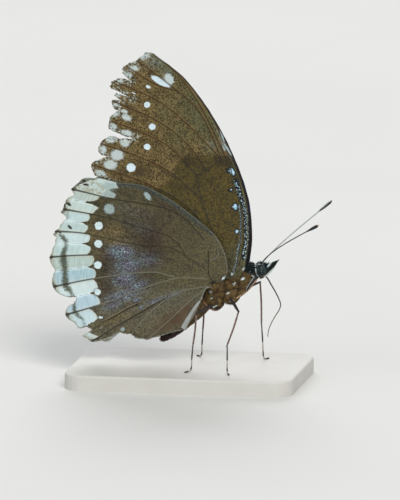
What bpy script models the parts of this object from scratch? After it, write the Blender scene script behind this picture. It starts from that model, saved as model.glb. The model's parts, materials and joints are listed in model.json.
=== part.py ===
"""Great eggfly butterfly at rest, wings closed over its back, as a life-size still model.

Model frame: +X is the way the head points, +Z is up, the body's plane of symmetry is Y = 0.
The origin is the middle of the underside of the flat base. Driving sizes are in millimetres
and MM turns them into metres. A wing is drawn flat, in millimetres forward of and above its
hinge, and is then given its place between its neighbours by a lean function.
"""

import math

import bmesh
import bpy
from mathutils import Matrix, Vector
from mathutils.geometry import delaunay_2d_cdt

MM = 0.001
SIDES = (("right", -1), ("left", 1))
TOUCH_GAP = 0.3

# Base
BASE_LENGTH = 44.0
BASE_WIDTH = 30.0
BASE_HEIGHT = 3.0
BASE_CORNER = 4.0
BASE_EDGE = 0.35
SOLE_Z = BASE_HEIGHT + TOUCH_GAP

# Body
PITCH = math.radians(26.0)
HEAD_CENTRE = (13.95, 0.0, 21.75)
HEAD_RADII = (1.3, 1.3, 1.5)
EYE_CENTRE = (14.0, 1.25, 21.9)
EYE_RADII = (1.08, 0.85, 1.2)
# Each station is forward, up, half width, reach above and reach below the axis.
THORAX_STATIONS = (
    (3.0, 16.7, 0.8, 1.0, 0.9),
    (3.7, 17.0, 1.65, 2.0, 1.8),
    (5.4, 17.7, 2.1, 3.1, 2.8),
    (7.4, 18.6, 2.3, 3.7, 3.2),
    (9.3, 19.5, 2.2, 3.7, 2.8),
    (11.0, 20.4, 1.85, 3.0, 2.3),
    (12.2, 21.0, 1.35, 2.1, 1.8),
    (12.9, 21.4, 0.8, 1.3, 1.1),
)
HIND_COXA = ((5.0, 1.05, 15.3), (1.5, 1.0, 1.9))
MID_COXA = ((8.1, 1.15, 16.5), (1.4, 1.0, 1.7))
COLLAR = ((11.5, 0.7, 22.35), (1.15, 0.9, 0.5))
# Root of a wing on the thorax: back from and below the hinge, out from the plane of symmetry.
FORE_KNUCKLE = ((0.5, 0.4, 2.2), (1.3, 0.65, 1.0))
HIND_KNUCKLE = ((0.5, 0.4, 2.4), (1.3, 0.75, 1.1))
ABDOMEN_STATIONS = (
    (4.2, 15.9, 1.1, 1.2, 1.1),
    (2.9, 14.9, 1.75, 1.9, 1.7),
    (1.2, 13.5, 2.0, 2.15, 1.95),
    (-1.0, 11.6, 2.0, 2.05, 1.9),
    (-3.0, 9.65, 1.6, 1.6, 1.55),
    (-4.7, 8.15, 1.05, 1.05, 1.05),
    (-5.6, 7.45, 0.5, 0.5, 0.5),
)
ABDOMEN_RINGS = 7
ABDOMEN_RING_DEPTH = 0.07

# Mouth parts and feelers
PALP_STATIONS = (
    (14.3, 20.9, 0.30, 0.6, 0.5),
    (14.9, 21.5, 0.42, 1.25, 0.7),
    (15.8, 22.45, 0.42, 0.95, 0.65),
    (16.7, 23.4, 0.34, 0.5, 0.45),
    (17.35, 24.0, 0.2, 0.22, 0.22),
)
PALP_SPREAD = 0.62
PROBOSCIS_PATH = (
    (14.1, 21.0), (15.0, 20.25), (15.75, 19.0), (16.72, 17.35), (17.45, 15.8),
    (17.6, 15.0), (17.3, 14.1), (16.7, 13.1), (15.9, 11.7), (15.3, 10.2), (15.1, 8.8),
)
PROBOSCIS_RADIUS = 0.25
ANTENNA_ROOT = (13.8, 0.5, 22.6)
ANTENNA_TIPS = {"right": (26.5, 9.0, 32.4), "left": (25.9, 9.0, 33.9)}
ANTENNA_BOW = 0.5
ANTENNA_RADIUS = 0.25
CLUB_RADIUS = 0.38
CLUB_START = 0.82

# Legs: forward, out and up of each joint from the hip to the end of the foot.
LEG_RADIUS = {"hip": 0.5, "knee": 0.33, "ankle": 0.27, "toe": 0.25}
MIDLEG_PATHS = {
    "right": ((7.9, 1.2, 16.4), (10.8, 7.2, 14.9), (8.75, 8.0, 8.5), (8.9, 8.5, 3.75), (9.4, 9.7, 3.45)),
    "left": ((7.9, 1.2, 16.4), (12.7, 5.2, 18.4), (12.75, 6.4, 10.2), (13.2, 7.0, 3.75), (13.8, 8.1, 3.45)),
}
HINDLEG_PATHS = {
    "right": ((4.9, 1.2, 15.0), (2.5, 6.4, 14.0), (2.0, 7.2, 8.1), (1.6, 7.6, 3.75), (0.8, 8.7, 3.45)),
    "left": ((4.9, 1.2, 15.0), (1.6, 6.2, 14.5), (1.3, 6.9, 8.3), (0.9, 7.3, 3.75), (0.0, 8.3, 3.45)),
}
FORELEG_PATH = ((11.5, 1.2, 20.4), (12.3, 2.1, 20.0), (11.8, 2.35, 18.9), (11.0, 2.1, 17.5))
FORELEG_RADIUS = 0.38
KNEE_ROUNDING = 0.5

# Wings: thickness, and how far each plane stands from the body's plane of symmetry.
WING_THICKNESS = 0.5
VEIN_HALF_WIDTH = 0.32
VEIN_HEIGHT_OUTER = 0.2
VEIN_HEIGHT_INNER = 0.1
FORE_ROOT_Y = 2.7
FORE_TIP_Y = 0.58
FORE_CLOSING_LENGTH = 11.0
HIND_OVER_FORE = 1.12
HIND_FREE_Y = 0.8
HIND_BLEND = 7.0
ABDOMEN_CLEARANCE_Y = 2.75
ABDOMEN_COVER = (2.8, 9.5)
WING_GRID = 2.9
VEIN_STEP = 3.4
FLANK_INSET = 0.5
EDGE_STEP = 1.6

FORE_HINGE = (9.95, 20.8)
FORE_COSTA = ((0.9, 1.4), (1.8, 7.5), (0.9, 15.7), (-3.3, 26.5), (-10.1, 36.6), (-16.9, 42.1))
FORE_INNER_EDGE = ((-28.1, 18.2), (-23.0, 16.3), (-17.0, 12.6), (-9.0, 6.2), (-2.3, -0.7))
FORE_BASE = ((-1.0, -0.6), (0.4, 0.1))
FORE_VEINS = {
    "subcosta": ((0.1, 2.1), (1.2, 9.0), (-0.4, 19.1), (-3.7, 26.7)),
    "radius_4": ((-0.6, 1.0), (0.3, 8.5), (-0.6, 17.0), (-6.2, 29.5), (-11.4, 37.5), (-16.9, 42.1)),
    "radius_5": ((-3.5, 22.1), (-7.8, 31.0), (-13.9, 36.4), (-20.0, 40.6)),
    "media_1": ((-12.4, 35.1), (-16.6, 36.3), (-22.1, 39.6)),
    "media_2": ((-3.5, 22.1), (-9.7, 28.2), (-15.5, 32.8), (-24.2, 36.6)),
    "media_3": ((-6.6, 20.0), (-9.7, 24.4), (-15.5, 28.9), (-24.8, 32.8)),
    "cubitus_1": ((-8.3, 19.0), (-13.6, 24.2), (-19.4, 27.0), (-25.3, 28.9)),
    "cubitus_2": ((-7.4, 14.4), (-13.2, 19.2), (-19.4, 22.1), (-27.0, 24.5)),
    "cubitus": ((-1.0, 0.5), (-4.7, 7.3), (-7.4, 14.4), (-8.3, 19.0)),
    "cross_vein": ((-8.3, 19.0), (-6.6, 20.0), (-3.5, 22.1)),
    "anal_2": ((-1.4, -0.3), (-8.7, 11.6), (-17.4, 16.8), (-28.8, 20.4)),
}
FORE_MARGIN = ("radius_4", "radius_5", "media_1", "media_2", "media_3", "cubitus_1", "cubitus_2",
               "anal_2")
# Worn edge, cell by cell: hollow of the edge, then tears as place, depth, width and slant.
FORE_WEAR = {
    "radius_4": (-0.6, ()),
    "radius_5": (-0.1, ()),
    "media_1": (-0.25, ((0.5, 2.7, 0.7, 0.15),)),
    "media_2": (-0.6, ((0.5, 3.5, 0.8, 0.9), (0.88, 1.6, 0.6, 0.0))),
    "media_3": (0.1, ((0.47, 1.6, 1.5, 0.0),)),
    "cubitus_1": (0.1, ((0.42, 5.8, 1.8, -1.2),)),
    "cubitus_2": (-0.1, ((0.46, 2.2, 1.6, -0.2),)),
    "anal_2": (-0.2, ()),
}

HIND_HINGE = (5.11, 19.66)
HIND_COSTA = ((1.3, -0.3), (2.75, 1.3), (2.7, 4.1), (0.4, 8.9), (-4.5, 12.8), (-11.4, 17.0),
              (-15.8, 18.2), (-20.1, 18.7), (-24.0, 19.0), (-26.3, 18.2), (-27.8, 16.7))
HIND_INNER_EDGE = ((-5.6, -9.4), (-4.0, -7.2), (-2.6, -4.3), (-1.3, -1.4), (0.2, -1.4))
HIND_VEINS = {
    "humeral": ((-1.4, -0.2), (-1.9, 2.4), (-1.7, 5.2)),
    "radius": ((-0.6, 0.6), (-0.1, 6.6), (-5.2, 12.2), (-12.1, 14.3), (-19.4, 15.1), (-27.8, 16.7)),
    "media_1": ((-1.2, 4.6), (-4.8, 8.2), (-12.5, 9.4), (-21.3, 11.5), (-29.4, 12.7)),
    "media_2": ((-1.9, 3.0), (-8.7, 6.4), (-15.4, 6.4), (-24.9, 8.1), (-31.0, 8.4)),
    "media_3": ((-1.9, 1.8), (-8.7, 4.0), (-16.4, 4.3), (-26.2, 3.9), (-32.1, 3.3)),
    "cubitus_1": ((-1.6, 0.4), (-8.7, 1.2), (-17.1, 0.8), (-24.9, -0.8), (-31.4, -2.4)),
    "cubitus_2": ((-4.8, 0.5), (-11.6, -1.5), (-20.5, -4.9), (-29.0, -7.8)),
    "postcubitus": ((-1.1, -0.4), (-9.6, -2.6), (-17.1, -7.4), (-23.9, -12.8)),
    "anal_2": ((-1.2, -0.9), (-5.9, -2.0), (-9.4, -3.9), (-13.4, -7.6), (-16.0, -10.8)),
    "anal_3": ((-1.3, -1.3), (-4.4, -3.8), (-9.0, -8.2), (-12.9, -11.7)),
}
HIND_MARGIN = ("radius", "media_1", "media_2", "media_3", "cubitus_1", "cubitus_2",
               "postcubitus", "anal_2", "anal_3")
HIND_WEAR = {
    "radius": (-0.1, ((0.21, 1.0, 1.0, 0.0),)),
    "media_1": (0.6, ((0.18, -0.25, 0.7, 0.0), (0.33, 1.4, 0.5, 0.0))),
    "media_2": (0.35, ((0.22, 0.65, 0.8, 0.0),)),
    "media_3": (0.1, ((0.44, 0.9, 1.4, 0.0),)),
    "cubitus_1": (0.3, ((0.6, 3.4, 2.4, 0.1),)),
    "cubitus_2": (-0.1, ((0.72, 1.8, 1.9, 0.3),)),
    "postcubitus": (0.65, ((0.32, -0.5, 0.9, 0.0),)),
    "anal_2": (-0.35, ()),
    "anal_3": (-0.1, ()),
}

MATERIALS = {
    "wing": ((0.115, 0.085, 0.052), 0.75),
    "body": ((0.060, 0.042, 0.028), 0.85),
    "eye": ((0.012, 0.016, 0.026), 0.25),
    "limb": ((0.045, 0.032, 0.024), 0.6),
    "base": ((0.62, 0.61, 0.58), 0.6),
}


def clear_scene():
    for item in list(bpy.data.objects):
        bpy.data.objects.remove(item, do_unlink=True)


def new_collection(name):
    group = bpy.data.collections.new(name)
    bpy.context.scene.collection.children.link(group)
    return group


def make_materials():
    made = {}
    for name, (colour, roughness) in MATERIALS.items():
        material = bpy.data.materials.new(name)
        material.use_nodes = True
        shader = material.node_tree.nodes["Principled BSDF"]
        shader.inputs["Base Color"].default_value = (*colour, 1.0)
        shader.inputs["Roughness"].default_value = roughness
        made[name] = material
    return made


def object_from_bmesh(name, mesh_data, group):
    bmesh.ops.recalc_face_normals(mesh_data, faces=mesh_data.faces)
    mesh = bpy.data.meshes.new(name)
    mesh_data.to_mesh(mesh)
    mesh_data.free()
    item = bpy.data.objects.new(name, mesh)
    group.objects.link(item)
    return item


def millimetres(values):
    return Vector(values) * MM


def ellipsoid(name, centre, radii, group, grow=0.0, sides=20, rings=12):
    """A ball stretched to three radii and pitched with the body."""
    place = Matrix.Translation(millimetres(centre)) @ Matrix.Rotation(-PITCH, 4, "Y")
    stretch = Matrix.Diagonal((*[(radius + grow) * MM for radius in radii], 1.0))
    ball = bmesh.new()
    bmesh.ops.create_uvsphere(ball, u_segments=sides, v_segments=rings, radius=1.0,
                              matrix=place @ stretch)
    return object_from_bmesh(name, ball, group)


def smooth_path(points, step):
    """Points about one step apart on a Catmull-Rom curve through the given ones."""
    knots = [Vector(point) for point in points]
    knots = [knots[0] * 2 - knots[1]] + knots + [knots[-1] * 2 - knots[-2]]
    path = []
    for before, start, end, after in zip(knots, knots[1:], knots[2:], knots[3:]):
        count = max(1, round((end - start).length / step))
        for index in range(count):
            t = index / count
            path.append(0.5 * (2 * start + (end - before) * t
                               + (2 * before - 5 * start + 4 * end - after) * t ** 2
                               + (3 * start - before - 3 * end + after) * t ** 3))
    path.append(knots[-2])
    return path


def loft(name, stations, group, grow=0.0, sides=20, shift_y=0.0, step=1.0):
    """A closed form through oval sections that stand square to its axis."""
    path = smooth_path(stations, step)
    body = bmesh.new()
    rings = []
    for index, (forward, up, half_width, above, below) in enumerate(path):
        ahead = path[min(index + 1, len(path) - 1)]
        behind = path[max(index - 1, 0)]
        heading = Vector((ahead[0] - behind[0], ahead[1] - behind[1])).normalized()
        rise = Vector((-heading.y, heading.x))
        if rise.y < 0:
            rise = -rise
        ring = []
        for number in range(sides):
            angle = math.tau * number / sides
            reach = (above if math.sin(angle) > 0 else below) + grow
            lift = rise * (reach * math.sin(angle))
            side = shift_y + (half_width + grow) * math.cos(angle)
            ring.append(body.verts.new(millimetres((forward + lift.x, side, up + lift.y))))
        rings.append(ring)
    for near, far in zip(rings, rings[1:]):
        for number in range(sides):
            after = (number + 1) % sides
            body.faces.new((near[number], near[after], far[after], far[number]))
    for ring, outward in ((rings[0], -1), (rings[-1], 1)):
        first, last = Vector(path[0][:2]), Vector(path[-1][:2])
        heading = (last - first).normalized()
        middle = first if outward < 0 else last
        half_width = path[0][2] if outward < 0 else path[-1][2]
        tip = middle + heading * outward * (0.5 * half_width + grow)
        pole = body.verts.new(millimetres((tip.x, shift_y, tip.y)))
        for number in range(sides):
            body.faces.new((ring[number], ring[(number + 1) % sides], pole))
    return object_from_bmesh(name, body, group)


def tube(name, points, radii, group, grow=0.0):
    """A round tube along points, each with its own radius, made a closed mesh."""
    curve = bpy.data.curves.new(name, "CURVE")
    curve.dimensions = "3D"
    curve.bevel_depth = MM
    curve.bevel_resolution = 2
    curve.use_fill_caps = True
    spline = curve.splines.new("POLY")
    spline.points.add(len(points) - 1)
    for knot, point, radius in zip(spline.points, points, radii):
        knot.co = (*millimetres(point), 1.0)
        knot.radius = radius + grow
    item = bpy.data.objects.new(name, curve)
    group.objects.link(item)
    bpy.context.view_layer.update()
    reader = bpy.context.evaluated_depsgraph_get()
    mesh = bpy.data.meshes.new_from_object(item.evaluated_get(reader))
    bpy.data.objects.remove(item, do_unlink=True)
    bpy.data.curves.remove(curve)
    walls = bmesh.new()
    walls.from_mesh(mesh)
    bpy.data.meshes.remove(mesh)
    bmesh.ops.remove_doubles(walls, verts=walls.verts, dist=MM * 0.001)
    return object_from_bmesh(name, walls, group)


def apply_boolean(item, operation, pieces, solver="EXACT"):
    """Joins to the item, or cuts from it, closed meshes, which are then removed."""
    helpers = new_collection(item.name + "_helpers")
    for piece in pieces:
        for owner in list(piece.users_collection):
            owner.objects.unlink(piece)
        helpers.objects.link(piece)
    change = item.modifiers.new(operation.lower(), "BOOLEAN")
    change.operation = operation
    change.operand_type = "COLLECTION"
    change.collection = helpers
    change.solver = solver
    bpy.context.view_layer.update()
    reader = bpy.context.evaluated_depsgraph_get()
    mesh = bpy.data.meshes.new_from_object(item.evaluated_get(reader))
    item.modifiers.clear()
    item.data = mesh
    for piece in list(helpers.objects):
        bpy.data.objects.remove(piece, do_unlink=True)
    bpy.data.collections.remove(helpers)
    keep_largest(item)


def keep_largest(item):
    """Leaves only the closed surface that holds the most vertices."""
    shape = bmesh.new()
    shape.from_mesh(item.data)
    unseen = set(shape.verts)
    islands = []
    while unseen:
        front = [unseen.pop()]
        island = set(front)
        while front:
            for edge in front.pop().link_edges:
                for vert in edge.verts:
                    if vert in unseen:
                        unseen.discard(vert)
                        island.add(vert)
                        front.append(vert)
        islands.append(island)
    islands.sort(key=len)
    scraps = [vert for island in islands[:-1] for vert in island]
    bmesh.ops.delete(shape, geom=scraps, context="VERTS")
    shape.to_mesh(item.data)
    shape.free()


def cut_flat(item, height):
    """Takes off what lies under a level and closes the cut with a flat face."""
    shape = bmesh.new()
    shape.from_mesh(item.data)
    everything = shape.verts[:] + shape.edges[:] + shape.faces[:]
    cut = bmesh.ops.bisect_plane(shape, geom=everything, plane_co=(0, 0, height * MM),
                                 plane_no=(0, 0, 1), clear_inner=True)
    rim = [edge for edge in cut["geom_cut"] if isinstance(edge, bmesh.types.BMEdge)]
    bmesh.ops.contextual_create(shape, geom=rim)
    bmesh.ops.recalc_face_normals(shape, faces=shape.faces)
    shape.to_mesh(item.data)
    shape.free()


def mirrored(point, side):
    return (point[0], side * point[1], point[2])


def head_pieces(group, grow=0.0):
    return [ellipsoid("head", HEAD_CENTRE, HEAD_RADII, group, grow)]


def eye_pieces(group, grow=0.0):
    return [ellipsoid("eye_" + name, mirrored(EYE_CENTRE, side), EYE_RADII, group, grow)
            for name, side in SIDES]


def thorax_pieces(group, grow=0.0):
    pieces = [loft("thorax", THORAX_STATIONS, group, grow)]
    for centre, radii in (HIND_COXA, MID_COXA, COLLAR):
        for name, side in SIDES:
            pieces.append(ellipsoid("lobe_" + name, mirrored(centre, side), radii, group, grow,
                                    sides=14, rings=9))
    return pieces


def make_head(group):
    return head_pieces(group)[0]


def make_eyes(group):
    eyes = eye_pieces(group)
    for eye in eyes:
        apply_boolean(eye, "DIFFERENCE", head_pieces(group, TOUCH_GAP))
    return eyes


def make_thorax(group):
    thorax, *lobes = thorax_pieces(group)
    apply_boolean(thorax, "UNION", lobes)
    apply_boolean(thorax, "DIFFERENCE", head_pieces(group, TOUCH_GAP) + eye_pieces(group, TOUCH_GAP))
    return thorax


def abdomen_stations():
    """The abdomen's sections, drawn in a little where one ring meets the next."""
    path = smooth_path(ABDOMEN_STATIONS, 0.42)
    stations = []
    for index, station in enumerate(path):
        phase = math.pi * ABDOMEN_RINGS * index / (len(path) - 1)
        pinch = 1.0 - ABDOMEN_RING_DEPTH * (1.0 - abs(math.sin(phase)))
        stations.append((station[0], station[1], *(size * pinch for size in station[2:])))
    return stations


def make_abdomen(group):
    abdomen = loft("abdomen", abdomen_stations(), group, step=0.5)
    apply_boolean(abdomen, "DIFFERENCE", thorax_pieces(group, TOUCH_GAP))
    return abdomen


def make_palp(name, side, group):
    palp = loft("palp_" + name, PALP_STATIONS, group, sides=12, shift_y=side * PALP_SPREAD, step=0.6)
    apply_boolean(palp, "DIFFERENCE", head_pieces(group, TOUCH_GAP) + eye_pieces(group, TOUCH_GAP))
    return palp


def make_proboscis(group):
    path = smooth_path([(forward, 0.0, up) for forward, up in PROBOSCIS_PATH], 0.8)
    radii = [PROBOSCIS_RADIUS * min(1.0, 0.3 + 0.35 * (len(path) - 1 - index))
             for index in range(len(path))]
    proboscis = tube("proboscis", path, radii, group)
    apply_boolean(proboscis, "DIFFERENCE", head_pieces(group, TOUCH_GAP))
    return proboscis


def make_antenna(name, side, group):
    """A thin shaft that thickens near its tip into a long club."""
    root = Vector(mirrored(ANTENNA_ROOT, side))
    tip = Vector(mirrored(ANTENNA_TIPS[name], side))
    middle = (root + tip) / 2 + Vector((0.0, 0.0, ANTENNA_BOW))
    path = smooth_path((root, middle, tip), 1.1)
    radii = []
    for index in range(len(path)):
        place = index / (len(path) - 1)
        swell = min(1.0, max(0.0, (place - CLUB_START) / 0.08))
        point = min(1.0, (1.0 - place) / 0.03 + 0.4)
        radii.append((ANTENNA_RADIUS + (CLUB_RADIUS - ANTENNA_RADIUS) * swell) * point)
    antenna = tube("antenna_" + name, path, radii, group)
    apply_boolean(antenna, "DIFFERENCE", head_pieces(group, TOUCH_GAP) + eye_pieces(group, TOUCH_GAP))
    return antenna


def leg_route(joints):
    """Straight limbs between joints, with each joint rounded by a short bend."""
    route = [Vector(joints[0])]
    for before, joint, after in zip(joints, joints[1:], joints[2:]):
        corner = Vector(joint)
        route.append(corner.lerp(Vector(before), KNEE_ROUNDING / (corner - Vector(before)).length))
        route.append(corner.lerp(Vector(after), KNEE_ROUNDING / (corner - Vector(after)).length))
    route.append(Vector(joints[-1]))
    return route


def make_walking_leg(kind, name, side, joints, group):
    route = leg_route([mirrored(joint, side) for joint in joints])
    hip, knee, ankle, toe = LEG_RADIUS.values()
    radii = [hip, knee, knee, ankle, ankle, toe, toe, toe]
    leg = tube(kind + "_" + name, route, radii, group)
    apply_boolean(leg, "DIFFERENCE", thorax_pieces(group, TOUCH_GAP))
    cut_flat(leg, SOLE_Z)
    return leg


def make_foreleg(name, side, group):
    """The small brush foot, folded against the front of the thorax."""
    path = smooth_path([mirrored(point, side) for point in FORELEG_PATH], 0.6)
    radii = [FORELEG_RADIUS] * (len(path) - 1) + [FORELEG_RADIUS * 0.5]
    foreleg = tube("foreleg_" + name, path, radii, group)
    apply_boolean(foreleg, "DIFFERENCE", thorax_pieces(group, TOUCH_GAP)
                  + head_pieces(group, TOUCH_GAP) + eye_pieces(group, TOUCH_GAP))
    return foreleg


def smooth_step(low, high, value):
    t = min(1.0, max(0.0, (value - low) / (high - low)))
    return t * t * (3 - 2 * t)


def distance_to_path(point, path):
    """Least distance to a chain of points, and how far along it that is, from 0 to 1."""
    best, along, run = math.inf, 0.0, 0.0
    for start, end in zip(path, path[1:]):
        span = end - start
        t = min(1.0, max(0.0, (point - start).dot(span) / span.length_squared))
        gap = (start + span * t - point).length
        if gap < best:
            best, along = gap, run + t * span.length
        run += span.length
    return best, along / run


def fore_plane(point):
    """Distance of the forewing's middle surface from the body's plane of symmetry."""
    from_hinge = (point - Vector(FORE_HINGE)).length
    return FORE_TIP_Y + (FORE_ROOT_Y - FORE_TIP_Y) * math.exp(-from_hinge / FORE_CLOSING_LENGTH)


def hind_plane(point):
    """The hindwing lies over the forewing above, and bulges round the abdomen below."""
    inner_edge = [Vector(FORE_HINGE) + Vector(knot) for knot in FORE_INNER_EDGE]
    start, end = inner_edge[0], inner_edge[-1]
    across = Vector((end.y - start.y, start.x - end.x)).normalized()
    under_edge = -(point - start).dot(across)
    cover = 1.0 - smooth_step(0.0, HIND_BLEND, -under_edge)
    lean = HIND_FREE_Y + (fore_plane(point) + HIND_OVER_FORE - HIND_FREE_Y) * cover
    axis = [Vector(station[:2]) for station in ABDOMEN_STATIONS]
    from_abdomen, _ = distance_to_path(point, axis)
    bulge = 1.0 - smooth_step(*ABDOMEN_COVER, from_abdomen)
    return lean + max(0.0, ABDOMEN_CLEARANCE_Y - lean) * bulge


def worn_edge(start, end, inward, hollow, tears):
    """The margin between two vein ends: a shallow arc with its tears cut in."""
    chord = end - start
    along = chord.normalized()
    count = max(3, round(chord.length / EDGE_STEP))
    places = [index / count for index in range(1, count)]
    tips = []
    for place, depth, width, slant in tears:
        half = width / 2 / chord.length
        places = [t for t in places if abs(t - place) > half + 0.06]
        places += [place - half, place + half]
        tips.append((place, start + chord * place + inward * depth + along * slant))
    arc = [(t, start + chord * t + inward * (hollow * 4 * t * (1 - t))) for t in places]
    return [point for _, point in sorted(arc + tips, key=lambda entry: entry[0])]


def wing_outline(costa, margin, inner_edge, base, veins, wear):
    outline = smooth_path([Vector(knot) for knot in costa], VEIN_STEP)
    if (outline[-1] - Vector(veins[margin[0]][-1])).length > 0.1:
        outline.append(Vector(veins[margin[0]][-1]))
    ends = [Vector(veins[name][-1]) for name in margin] + [Vector(inner_edge[0])]
    for name, start, end in zip(margin, ends, ends[1:]):
        chord = end - start
        inward = Vector((-chord.y, chord.x)).normalized()
        hollow, tears = wear.get(name, (0.0, ()))
        outline += worn_edge(start, end, inward, hollow, tears)
        outline.append(end)
    outline += smooth_path([Vector(knot) for knot in inner_edge], VEIN_STEP)[1:]
    outline += [Vector(knot) for knot in base]
    return outline


def is_inside(point, outline):
    inside = False
    for start, end in zip(outline, outline[1:] + outline[:1]):
        if (start.y > point.y) != (end.y > point.y):
            crossing = start.x + (point.y - start.y) * (end.x - start.x) / (end.y - start.y)
            inside ^= point.x < crossing
    return inside


def grid_points(outline, routes):
    """Points between the veins that carry the wing's curve."""
    closed = outline + outline[:1]
    low = Vector((min(p.x for p in outline), min(p.y for p in outline)))
    high = Vector((max(p.x for p in outline), max(p.y for p in outline)))
    found = []
    rows = int((high.y - low.y) / (WING_GRID * 0.87)) + 1
    columns = int((high.x - low.x) / WING_GRID) + 1
    for row in range(rows):
        for column in range(columns):
            point = low + Vector(((column + 0.5 * (row % 2)) * WING_GRID, row * WING_GRID * 0.87))
            if not is_inside(point, outline) or distance_to_path(point, closed)[0] < 0.9:
                continue
            if min(distance_to_path(point, route)[0] for route in routes) > 1.3:
                found.append(point)
    return found


def vein_rise(point, routes):
    """Height of the vein ridges at a point, from 0 to 1. Veins thin out towards the margin."""
    rise = 0.0
    for route in routes:
        gap, along = distance_to_path(point, route)
        rise = max(rise, (1.0 - 0.5 * along ** 3) * max(0.0, 1.0 - gap / VEIN_HALF_WIDTH))
    return rise


def offset_path(route, shift):
    """The foot of a vein's ridge, drawn in at both ends to stay clear of a fork and the margin."""
    first = route[0] + (route[1] - route[0]).normalized() * FLANK_INSET
    last = route[-1] + (route[-2] - route[-1]).normalized() * FLANK_INSET
    route = [first] + route[1:-1] + [last]
    moved = []
    for index, point in enumerate(route):
        before, after = route[max(index - 1, 0)], route[min(index + 1, len(route) - 1)]
        heading = (after - before).normalized()
        moved.append(point + Vector((-heading.y, heading.x)) * shift)
    return moved


def add_path(points, edges, path):
    first = len(points)
    points += path
    edges += [(first + index, first + index + 1) for index in range(len(path) - 1)]


def make_wing(name, side, hinge, outline, veins, plane, group):
    """One membrane, cut into the same triangles on both faces, with its veins raised."""
    routes = [smooth_path([Vector(knot) for knot in vein], VEIN_STEP) for vein in veins.values()]
    points = list(outline)
    edges = []
    for route in routes:
        add_path(points, edges, route)
        for shift in (-VEIN_HALF_WIDTH, VEIN_HALF_WIDTH):
            flank = offset_path(route, shift)
            add_path(points, edges, [p for p in flank if is_inside(p, outline)])
    points += grid_points(outline, routes)
    rim = list(range(len(outline)))
    flat, _, triangles, *_ = delaunay_2d_cdt(points, edges, [rim], 1, 0.05)
    wing = bmesh.new()
    faces = {"outer": [], "inner": []}
    for point in flat:
        place = Vector(hinge) + point
        middle = plane(place)
        rise = vein_rise(point, routes)
        outer = middle + WING_THICKNESS / 2 + VEIN_HEIGHT_OUTER * rise
        inner = middle - WING_THICKNESS / 2 - VEIN_HEIGHT_INNER * rise
        faces["outer"].append(wing.verts.new(millimetres((place.x, side * outer, place.y))))
        faces["inner"].append(wing.verts.new(millimetres((place.x, side * inner, place.y))))
    borders = set()
    for triangle in triangles:
        corners = list(triangle)
        wing.faces.new([faces["outer"][corner] for corner in corners])
        wing.faces.new([faces["inner"][corner] for corner in reversed(corners)])
        for start, end in zip(corners, corners[1:] + corners[:1]):
            if (end, start) in borders:
                borders.remove((end, start))
            else:
                borders.add((start, end))
    for start, end in sorted(borders):
        wing.faces.new((faces["outer"][end], faces["outer"][start],
                        faces["inner"][start], faces["inner"][end]))
    loose = [vert for vert in wing.verts if not vert.link_faces]
    bmesh.ops.delete(wing, geom=loose, context="VERTS")
    return object_from_bmesh(name, wing, group)


def root_knuckle(hinge, side, knuckle, group):
    """The hard piece that carries a wing on the side of the thorax."""
    (back, down, out), radii = knuckle
    return ellipsoid("knuckle", (hinge[0] - back, side * out, hinge[1] - down), radii, group,
                     sides=14, rings=9)


def make_forewing(name, side, group):
    outline = wing_outline(FORE_COSTA, FORE_MARGIN, FORE_INNER_EDGE, FORE_BASE, FORE_VEINS, FORE_WEAR)
    wing = make_wing("forewing_" + name, side, FORE_HINGE, outline, FORE_VEINS, fore_plane, group)
    apply_boolean(wing, "UNION", [root_knuckle(FORE_HINGE, side, FORE_KNUCKLE, group)])
    apply_boolean(wing, "DIFFERENCE", thorax_pieces(group, TOUCH_GAP))
    return wing


def make_hindwing(name, side, group):
    outline = wing_outline(HIND_COSTA, HIND_MARGIN, HIND_INNER_EDGE, (), HIND_VEINS, HIND_WEAR)
    wing = make_wing("hindwing_" + name, side, HIND_HINGE, outline, HIND_VEINS, hind_plane, group)
    apply_boolean(wing, "UNION", [root_knuckle(HIND_HINGE, side, HIND_KNUCKLE, group)])
    apply_boolean(wing, "DIFFERENCE", thorax_pieces(group, TOUCH_GAP))
    return wing


def make_base(group):
    """A low flat block with rounded corners, its underside at the origin's level."""
    length, width, height = BASE_LENGTH * MM, BASE_WIDTH * MM, BASE_HEIGHT * MM
    block = bmesh.new()
    bmesh.ops.create_cube(block, size=1.0, matrix=Matrix.Translation((0, 0, height / 2))
                          @ Matrix.Diagonal((length, width, height, 1.0)))
    upright = [edge for edge in block.edges
               if abs(edge.verts[0].co.z - edge.verts[1].co.z) > height / 2]
    bmesh.ops.bevel(block, geom=upright, offset=BASE_CORNER * MM, segments=6, profile=0.5,
                    affect="EDGES")
    top_rim = [edge for edge in block.edges
               if all(vert.co.z > height * 0.99 for vert in edge.verts)]
    bmesh.ops.bevel(block, geom=top_rim, offset=BASE_EDGE * MM, segments=2, profile=0.5,
                    affect="EDGES")
    return object_from_bmesh("stand_base", block, group)


def finish_piece(item, material):
    item.data.materials.clear()
    item.data.materials.append(material)
    item.data.shade_smooth()
    item.data.set_sharp_from_angle(angle=math.radians(35))


def main():
    clear_scene()
    group = new_collection("great_eggfly")
    materials = make_materials()
    finish_piece(make_head(group), materials["body"])
    for eye in make_eyes(group):
        finish_piece(eye, materials["eye"])
    finish_piece(make_thorax(group), materials["body"])
    finish_piece(make_abdomen(group), materials["body"])
    finish_piece(make_proboscis(group), materials["limb"])
    for name, side in SIDES:
        finish_piece(make_palp(name, side, group), materials["body"])
        finish_piece(make_antenna(name, side, group), materials["limb"])
        finish_piece(make_foreleg(name, side, group), materials["limb"])
        for kind, paths in (("midleg", MIDLEG_PATHS), ("hindleg", HINDLEG_PATHS)):
            leg = make_walking_leg(kind, name, side, paths[name], group)
            finish_piece(leg, materials["limb"])
        finish_piece(make_forewing(name, side, group), materials["wing"])
        finish_piece(make_hindwing(name, side, group), materials["wing"])
    finish_piece(make_base(group), materials["base"])


main()
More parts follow.
